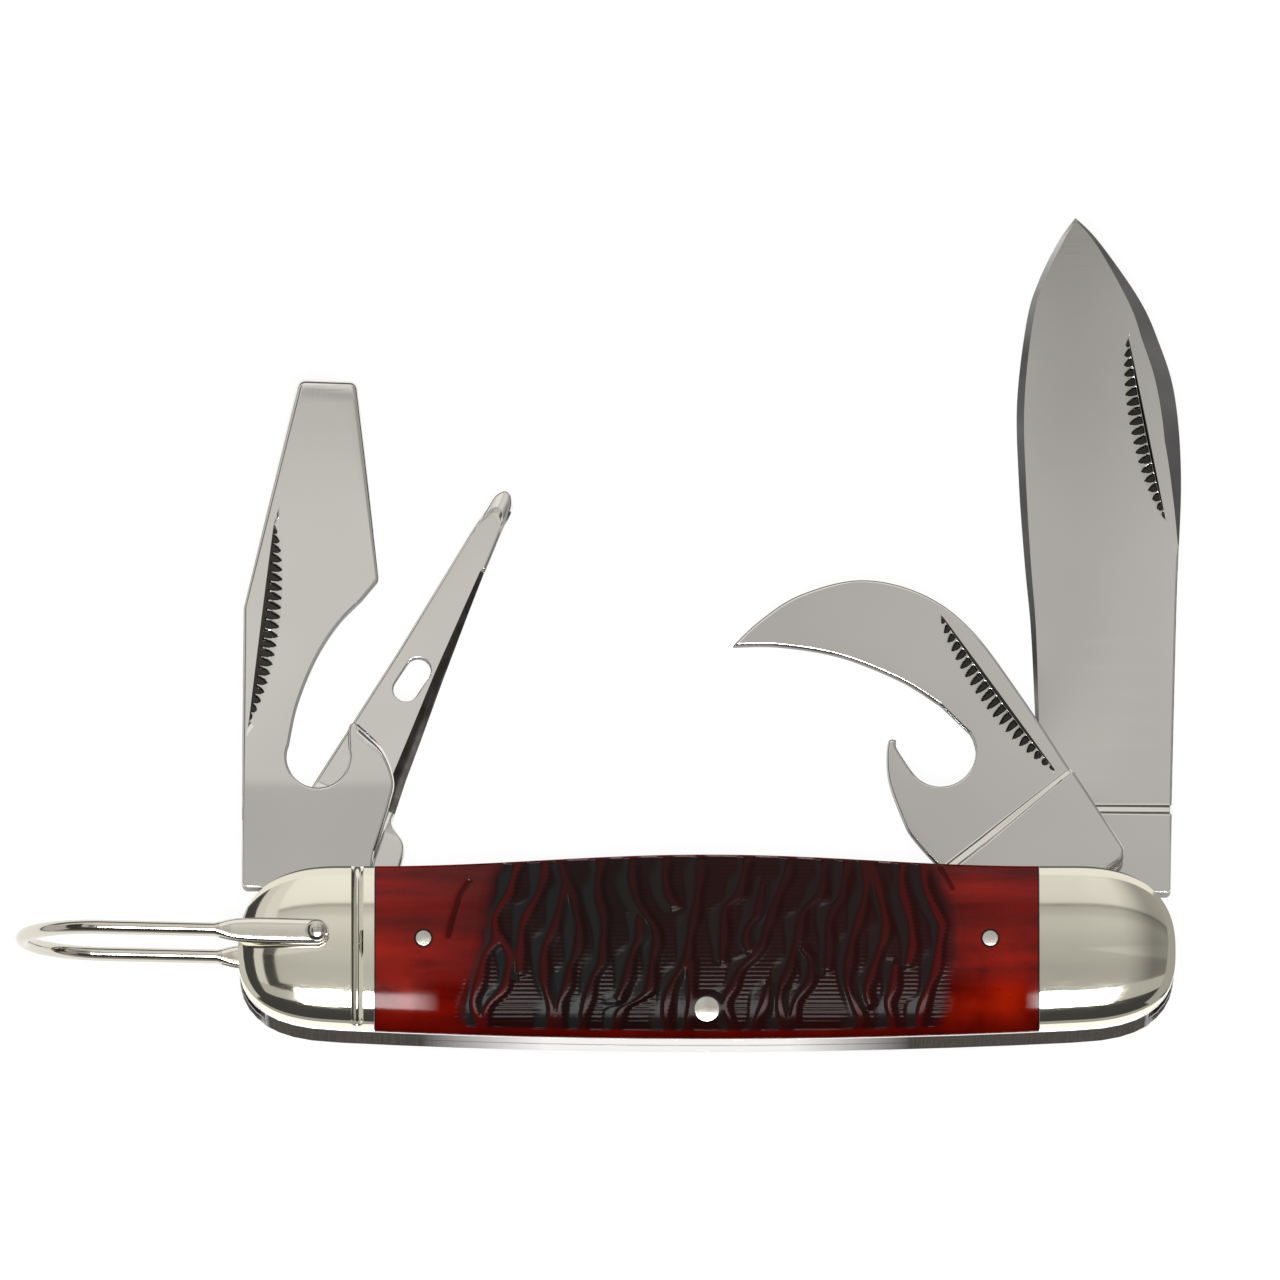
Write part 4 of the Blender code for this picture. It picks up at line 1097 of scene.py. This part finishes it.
def make_cap_lifter():
    low, high, tang_low = 8.97, 10.27, 7.37
    relief, relief_run = 11.95, 0.05
    bend, bend_slope, bend_round = 15.6, 0.045, 0.6
    drub, drub_rate = 53.8, 0.016

    def front(x, y):
        below = bend - y
        bent = bend_slope * (below + np.sqrt(below ** 2 + bend_round ** 2)) / 2.0
        return high - bent - drub_rate * np.maximum(y - drub + 0.06 * x ** 2, 0.0) ** 2 / 2.0

    def rear(x, y):
        return tang_low + (low - tang_low) * np.clip((y - relief) / relief_run, 0.0, 1.0)

    spine = [(7.4, 20.0), *fillet((7.4, 20.0), (7.3, 33.2), (1.97, 56.2), 3.0)]
    tip = fillet((7.3, 33.2), (1.97, 56.2), (-3.85, 56.0), 1.0)
    tip += fillet((1.97, 56.2), (-3.85, 56.0), (-6.0, 36.0), 0.9)
    flank = fillet((-3.85, 56.0), (-6.0, 36.0), (-4.34, 34.0), 0.8)
    throat = smooth(((-4.34, 34.0), (-1.97, 31.5), (0.2, 28.0), (1.97, 23.5), (2.82, 19.46)), 9)
    notch = arc((-0.05, 18.3), 3.1, 22.0, -192.0, 32)
    inner = smooth(((-3.08, 18.94), (-3.0, 20.6), (-3.16, 21.4), (-3.55, 21.76)), 6)
    hook = smooth(((-3.55, 21.76), (-3.94, 21.7), (-6.31, 19.25), (-7.5, 16.15), (-7.2, 13.9),
                   (-5.6, 8.9)), 9)
    hook_width = table((8.9, 0.25), (16.0, 0.32), (18.5, 0.5), (20.5, 1.1), (21.8, 1.2))
    rim = Rim(
        (tang(0.6), 0.13, 0.12),
        (spine, 0.32, 0.17),
        (tip, 0.62, 0.42),
        (flank, 0.30, 0.16),
        (throat, 0.26, 0.13),
        (notch, 0.26, 0.13),
        (inner, 0.30, 0.18),
        (hook, hook_width, lambda y: 0.08 + 0.58 * hook_width(y)),
        ([(-5.0, 5.0)], 0.20, 0.15))
    lines = heel_lines() + [level(bend + bend_round * (i - 4) / 2.0) for i in range(9)]
    lines += [level(relief), level(relief + relief_run)]
    lines += [level(drub + 0.28 * i) for i in range(7)]
    nick = Nick((4.35, 41.6), (6.75, 21.8), 1.85, 21, 0.18, -0.06, 0.44)
    Sheet([rim], front, rear, lines, nick).build("cap_lifter", -PIVOT_X, 0.0, [LEFT_BLADE, GROUND])


def make_punch():
    low, high, tang_low = 5.41, 6.71, 3.81
    disc, disc_run = 5.05, 0.05
    plunge_y, plunge, plunge_depth = 12.6, 3.0, 0.15
    lean_slope = 0.022
    nose, nose_arch = 47.4, 1.3
    nose_steps = (-0.85, -0.60, -0.05, 0.0, 0.06, 3.0)
    nose_rises = (0.0, 0.010, 0.056, 0.061, 0.062, -0.28)
    eye_x, eye_y, eye_half, eye_radius, eye_lean = 1.4, 28.2, 1.1, 1.25, 11.0

    def front(x, y):
        past = y - nose + nose_arch * np.minimum(x ** 2, 1.7)
        rise = np.interp(past, nose_steps, nose_rises)
        return high - ease((y - plunge_y) / plunge) * (plunge_depth + lean_slope * (x + 2.0)) + rise

    def rear(x, y):
        return tang_low + (low - tang_low) * np.clip((np.hypot(x, y) - disc) / disc_run, 0.0, 1.0)

    spine = [(6.9, 10.0), (6.5, 14.8), (3.8, 30.0), (1.65, 43.6), (0.98, 47.4)]
    tip = smooth(((0.98, 47.4), (0.72, 48.5), (0.05, 49.22), (-0.62, 49.1)), 6)
    cheek = smooth(((-0.62, 49.1), (-1.12, 48.4), (-1.3, 47.7), (-1.3, 46.9), (-1.18, 46.2)), 6)
    edge_top = [(-1.15, 45.2), (-1.16, 42.6), (-1.15, 41.2)]
    edge = [(-1.13, 40.8), (-1.2, 36.8), (-1.4, 29.4), (-1.66, 23.0), (-1.8, 18.7), (-2.05, 15.2)]
    heel = smooth(((-2.05, 15.2), (-2.3, 14.0), (-4.1, 12.6), (-4.6, 10.3), (-4.9, 7.5)), 7)
    cheek_width = table((46.2, 0.34), (46.9, 0.42), (47.7, 0.5), (48.4, 0.45), (49.1, 0.25))
    cheek_drop = table((46.2, 0.06), (46.9, 0.15), (47.7, 0.28), (48.4, 0.25), (49.1, 0.12))
    facet = table((15.0, 1.5), (20.0, 1.35), (30.0, 0.95), (36.8, 0.58), (41.0, 0.38), (46.6, 0.3))
    rim = Rim(
        (tang(0.5), 0.25, 0.22),
        (spine, 0.32, 0.15),
        (tip, 0.25, 0.12),
        (cheek, cheek_width, cheek_drop),
        (edge_top, 0.34, 0.07),
        (edge, facet, lambda y: 0.9 * facet(y), True),
        (heel, 0.28, 0.26),
        ([(-5.0, 4.0)], 0.20, 0.10))
    turn = math.radians(eye_lean)
    eye = []
    for sign in (-1.0, 1.0):
        centre = (eye_x - sign * eye_half * math.sin(turn), eye_y + sign * eye_half * math.cos(turn))
        start = (180.0 if sign > 0 else 0.0) + eye_lean
        eye += arc(centre, eye_radius, start, start - 180.0, 18)
    lines = heel_lines() + [level(plunge_y + plunge * i / 6) for i in range(7)]
    for past in nose_steps[:-1]:
        lines.append([(x, nose + past - nose_arch * x ** 2) for x in np.linspace(-1.3, 1.3, 25)])
    for radius in (disc, disc + disc_run):
        lines.append(arc((0.0, 0.0), radius, -5.0, 185.0, 40))
    sheet = Sheet([rim, Rim((eye, 0.14, 0.12))], front, rear, lines)
    sheet.build("punch", -PIVOT_X, -22.0, [LEFT_BLADE, DARK_GROUND_PAINTED_SHADE])


make_main_blade()
make_can_opener()
make_cap_lifter()
make_punch()


# Bail and pins


def make_bail():
    reach, wire, gap, sides = 29.68, 0.7, 0.1, 32
    ear, ear_radius, ear_thick, fade = 10.0, 1.22, 1.2, 1.7
    ear_half = table((0.0, 1.22), (3.0, 1.25), (6.0, 1.24), (7.6, 1.14), (8.6, 0.98), (9.4, 0.80),
                     (ear, wire))
    half_span = STACK_MIDDLE + gap + wire
    bend = reach - wire - half_span
    straight = []
    for angle in (88.0, 82.0, 74.0, 64.0, 52.0, 40.0, 28.0, 16.0, 6.0):
        straight.append(-ear_radius * math.sin(math.radians(angle)))
    straight += np.linspace(0.0, ear, 41).tolist() + np.linspace(ear + 1.0, bend - 1.0, 8).tolist()
    # Each station is the place along the wire's straight part, X and Z of its middle, and its outward way.
    stations = [(along, along, half_span, (0.0, 1.0)) for along in straight]
    for i in range(37):
        a = math.pi / 2.0 * i / 36
        out = (math.sin(a), math.cos(a))
        stations.append((bend, bend + half_span * out[0], half_span * out[1], out))
    stations += [(along, x, -z, (o[0], -o[1])) for along, x, z, o in reversed(stations[:-1])]
    lean = math.radians(-1.3)
    co = []
    for along, x, z, out in stations:
        t = min(max((along - ear + fade) / fade, 0.0), 1.0)
        tall = ear_half(along)
        thick = ear_thick / 2.0 + (wire - ear_thick / 2.0) * t
        power = EAR_POWER + (2.0 - EAR_POWER) * t
        if along < 0.0:
            tall = math.sqrt(max(ear_radius ** 2 - along ** 2, 0.0))
        for i in range(sides):
            a = 2.0 * math.pi * (i + 0.5) / sides
            up = tall * math.copysign(abs(math.sin(a)) ** (2.0 / power), math.sin(a))
            push = thick * math.copysign(abs(math.cos(a)) ** (2.0 / power), math.cos(a))
            px = -(x + push * out[0])
            co.append((px * math.cos(lean) - up * math.sin(lean) - PIVOT_X,
                       px * math.sin(lean) + up * math.cos(lean), STACK_MIDDLE + z + push * out[1]))
    rows = len(stations)
    faces = row_faces(rows, sides)
    faces.append(tuple(range(sides)))
    faces.append(tuple(range((rows - 1) * sides, rows * sides)))
    made = add_piece("bail", co, faces, BAIL_PAINTED_SHADE, body="bail", sharp=45.0)
    made.data.materials.append(EAR_FACE_PAINTED_LIGHT)
    made.data.materials.append(EAR_WALL_PAINTED_SHADE)
    # The ear's flat faces get the painted-light finish and its walls the painted-shade finish.
    ear_start = -(PIVOT_X + ear - 0.6) * MM
    for k in range((rows - 1) * sides):
        face = made.data.polygons[k]
        if face.center.x > ear_start:
            wall = abs(math.cos(2.0 * math.pi * (k % sides + 1) / sides)) < 0.45
            face.material_index = 2 if wall else 1


def circle(x, y, radius, z):
    angles = [2.0 * math.pi * i / PIN_SIDES for i in range(PIN_SIDES)]
    return [(x + radius * math.cos(a), y + radius * math.sin(a), z) for a in angles]


def make_bail_pin():
    """A shouldered pin through the bail's ears, with a domed head at each end."""
    body, neck, under_head, head = 1.0, 0.7, 0.99, 1.06
    shoulder, seat = STACK_MIDDLE - 0.1, STACK_MIDDLE + 1.5
    dome_base, dome_height, dome_steps = seat + 0.25, 0.35, 8
    half = [(body, shoulder), (neck, shoulder), (neck, seat), (under_head, seat), (head, seat + 0.08)]
    for i in range(dome_steps + 1):
        a = math.pi / 2 * i / dome_steps
        half.append((head * math.cos(a), dome_base + dome_height * math.sin(a)))
    profile = [(r, STACK_MIDDLE - z) for r, z in reversed(half)] + [(r, STACK_MIDDLE + z) for r, z in half]
    rings = profile[1:-1]
    co = [(-PIVOT_X, 0.0, profile[0][1]), (-PIVOT_X, 0.0, profile[-1][1])]
    for radius, z in rings:
        co += circle(-PIVOT_X, 0.0, radius, z)
    faces = row_faces(len(rings), PIN_SIDES, start=2)
    top = len(co) - PIN_SIDES
    for i in range(PIN_SIDES):
        j = (i + 1) % PIN_SIDES
        faces.append((0, 2 + j, 2 + i))
        faces.append((1, top + i, top + j))
    add_piece("bail_pin", co, faces, BAIL_PAINTED_SHADE)


def face_height(x, y, front):
    """Height of a scale's polished face above its liner."""
    above = y > -NOSE_DROP
    edge = handle_top(x) if above else cover_back(x, front)
    share = abs((y + NOSE_DROP) / (edge + NOSE_DROP))
    return float(crown(share ** POWER_TOP, 1.0) if above else crown(share ** POWER_BACK))


def flush_end(x, y, radius, front, dome_height, lean):
    """Rings of a pin end from rim to middle; lean is the share of the cover's slope that it follows."""
    middle = face_height(x, y, front)
    lift = (1.0 - lean) * (max(face_height(x, y + radius, front), middle) - middle)
    rings = []
    for share in (1.0, 0.96, 0.85, 0.65, 0.4, 0.2):
        ring = []
        for px, py, up in circle(x, y, radius * share, dome_height * (1.0 - share ** 2)):
            face = middle + lean * (face_height(px, py, front) - middle)
            ring.append((px, py, cover_z(front, face + lift + up)))
        rings.append(ring)
    return rings


def flush_pin(node, spot, ends, dome_height, lean, finish):
    """A pin whose ends lie in the covers' faces; an end given as a height is flat and buried."""
    x, y, radius = spot
    rings = []
    for k, end in enumerate(ends):
        if isinstance(end, bool):
            made = flush_end(x, y, radius, end, dome_height, lean)
        else:
            made = [circle(x, y, r, end) for r in (radius, 0.3 * radius)]
        rings += made[::-1] if k == 0 else made
    co = [p for ring in rings for p in ring]
    faces = [tuple(range(PIN_SIDES)), tuple(range(len(co) - PIN_SIDES, len(co)))]
    add_piece(node, co, faces + row_faces(len(rings), PIN_SIDES), finish)


make_bail()
make_bail_pin()
flush_pin("spring_rivet", RIVET, (False, True), 0.06, 0.2, RIVET_NICKEL)
for side_front, word in WORD.items():
    buried = cover_z(side_front, BURIED)
    pin_ends = (buried, True) if side_front else (False, buried)
    for hand, pin_spot in (("right", SCALE_PIN), ("left", LEFT_SCALE_PIN)):
        flush_pin(f"{word}_scale_pin_{hand}", pin_spot, pin_ends, 0.03, 1.0, PIN)

CARRIED = {"front_liner": LINER, "centre_liner": CENTRE_LINER_PAINTED_SHADE, "rear_liner": SPRING,
           "front_spring": SPRING, "rear_spring": SPRING, "pivot_pin": BLADE}
for node_name, carried_finish in CARRIED.items():
    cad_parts[node_name].data.materials.clear()
    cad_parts[node_name].data.materials.append(carried_finish)


# Floor, light and camera


def add_card(name, low, high, finish):
    """A flat stage card between two corners that share one coordinate, in metres."""
    k = next(k for k in range(3) if low[k] != high[k])
    second, fourth = list(low), list(high)
    second[k] = high[k]
    fourth[k] = low[k]
    mesh = bpy.data.meshes.new(name)
    mesh.from_pydata([low, second, high, fourth], [], [(0, 1, 2, 3)])
    mesh.materials.append(finish)
    made = add_object(name, mesh)
    return made


def glow(name, colour, strength):
    """The finish of a light card; its strength is a number, or graphs along X and Y that are multiplied."""
    paint = Paint(name)
    if isinstance(strength, tuple):
        graphs = [paint.graph(socket, pairs) for socket, pairs in zip(paint.along(), strength)]
        strength = paint.math("MULTIPLY", *graphs)
    return paint.surface(paint.add("Emission", {"Color": colour, "Strength": strength}))


def floor_finish():
    """White to the eye and in reflections, and a plain pale surface to all other light."""
    paint = Paint("floor")
    grit = paint.noise((400.0, 400.0, 400.0), 2.0)
    plain = paint.add("BsdfDiffuse", {"Color": paint.mixed(grit, (0.86, 0.86, 0.86), (0.88, 0.88, 0.88))})
    shade = paint.add("BsdfDiffuse", {"Color": (0.18, 0.18, 0.18)})
    white = paint.add("Emission", {"Strength": 0.88})
    seen = paint.add("AddShader", {0: shade, 1: white})
    path = paint.add("LightPath").outputs
    mirrored = paint.math("MAXIMUM", path["Is Transmission Ray"], path["Is Glossy Ray"])
    either = paint.math("MAXIMUM", path["Is Camera Ray"], mirrored)
    return paint.surface(paint.add("MixShader", {0: either, 1: plain, 2: seen}))


FLOOR_Z = cad_box[0].z - 0.0002
CEILING = 0.50
CREAM = (1.0, 0.985, 0.96)
BLUISH = (0.9, 0.95, 1.0)
WHITE = (1.0, 1.0, 1.0)
PANEL_ALONG_X = ((-0.152, 0.98), (-0.05, 1.03), (-0.03, 1.05), (-0.012, 0.85), (0.0, 0.74), (0.0145, 0.70),
                 (0.03, 0.80), (0.045, 0.83), (0.07, 0.87), (0.11, 0.86), (0.14, 0.70), (0.18, 0.48),
                 (0.22, 0.36), (0.40, 0.40))
PANEL_ALONG_Y = ((-0.02, 0.46), (0.03, 0.44), (0.06, 0.44), (0.085, 0.52), (0.107, 0.60), (0.12, 0.63),
                 (0.135, 0.63), (0.146, 0.53), (0.166, 0.49), (0.1705, 0.30), (0.177, 0.30), (0.181, 0.78),
                 (0.25, 0.82), (0.46, 0.85))
CARDS = (
    ("panel", (-0.152, -0.02, CEILING), (0.40, 0.46, CEILING), CREAM, (PANEL_ALONG_X, PANEL_ALONG_Y)),
    ("left_panel", (-0.302, -0.06, CEILING), (-0.216, 0.46, CEILING), CREAM, 0.6),
    ("corner_panel", (-0.216, 0.13, CEILING), (-0.152, 0.46, CEILING), CREAM, 0.68),
    ("front_left", (-0.30, -0.16, CEILING), (-0.105, -0.06, CEILING), CREAM, 0.42),
    ("front_right", (0.105, -0.16, CEILING), (0.40, -0.02, CEILING), CREAM, 0.42),
    ("left_wall", (-0.62, -0.46, 0.05), (-0.62, 0.46, CEILING), CREAM, 0.55),
    ("front_wall", (-0.62, -0.46, 0.03), (0.60, -0.46, 0.22), CREAM, 0.35),
    ("back_wall", (-0.62, 0.46, 0.234), (0.40, 0.46, CEILING), CREAM, 0.82),
    ("back_base", (-0.62, 0.46, FLOOR_Z), (0.60, 0.46, 0.234), BLUISH, 0.12),
    ("right_wall", (0.40, -0.46, 0.12), (0.40, 0.46, CEILING), CREAM, 0.35),
    ("strip", (-0.105, -0.175, CEILING), (0.105, -0.038, CEILING), WHITE, 20.0),
    ("fill", (-1.2, -1.2, 0.9), (1.2, 1.2, 0.9), WHITE, 0.22),
)
add_card("floor", (-3.0, -3.0, FLOOR_Z), (3.0, 3.0, FLOOR_Z), floor_finish())
for card_name, card_low, card_high, card_colour, card_strength in CARDS:
    card = add_card(card_name, card_low, card_high, glow(card_name + "_light", card_colour, card_strength))
    card.visible_camera = False
    card.visible_shadow = False
    card.visible_glossy = card_name != "fill"

sky = Nodes(bpy.data.worlds.new("studio"))
bpy.context.scene.world = sky.owner
dim_sky = sky.tree.nodes["Background"]
sky.put(dim_sky, "Color", (1.0, 0.98, 0.95))
sky.put(dim_sky, "Strength", 0.05)
white_sky = sky.add("Background", {"Color": WHITE, "Strength": 1.0})
seen_sky = sky.add("LightPath").outputs["Is Camera Ray"]
both_skies = sky.add("MixShader", {0: seen_sky, 1: dim_sky, 2: white_sky})
sky.put(sky.tree.nodes["World Output"], "Surface", both_skies)

CAMERA_DISTANCE = 2.5
CAMERA_ELEVATION = math.radians(79.5)
FRAME_WIDTH = 126.2 * MM
SENSOR = 36.0
target = Vector((-6.56, 30.54, STACK_MIDDLE)) * MM
camera_data = bpy.data.cameras.new("camera")
camera_data.sensor_width = SENSOR
camera_data.lens = SENSOR * CAMERA_DISTANCE / FRAME_WIDTH
camera_data.clip_start = 0.01
camera = add_object("camera", camera_data)
backward = Vector((0.0, -math.cos(CAMERA_ELEVATION), math.sin(CAMERA_ELEVATION)))
camera.location = target + backward * CAMERA_DISTANCE
camera.rotation_euler = backward.to_track_quat("Z", "Y").to_euler()
bpy.context.scene.camera = camera

bpy.context.scene.view_settings.view_transform = "Standard"
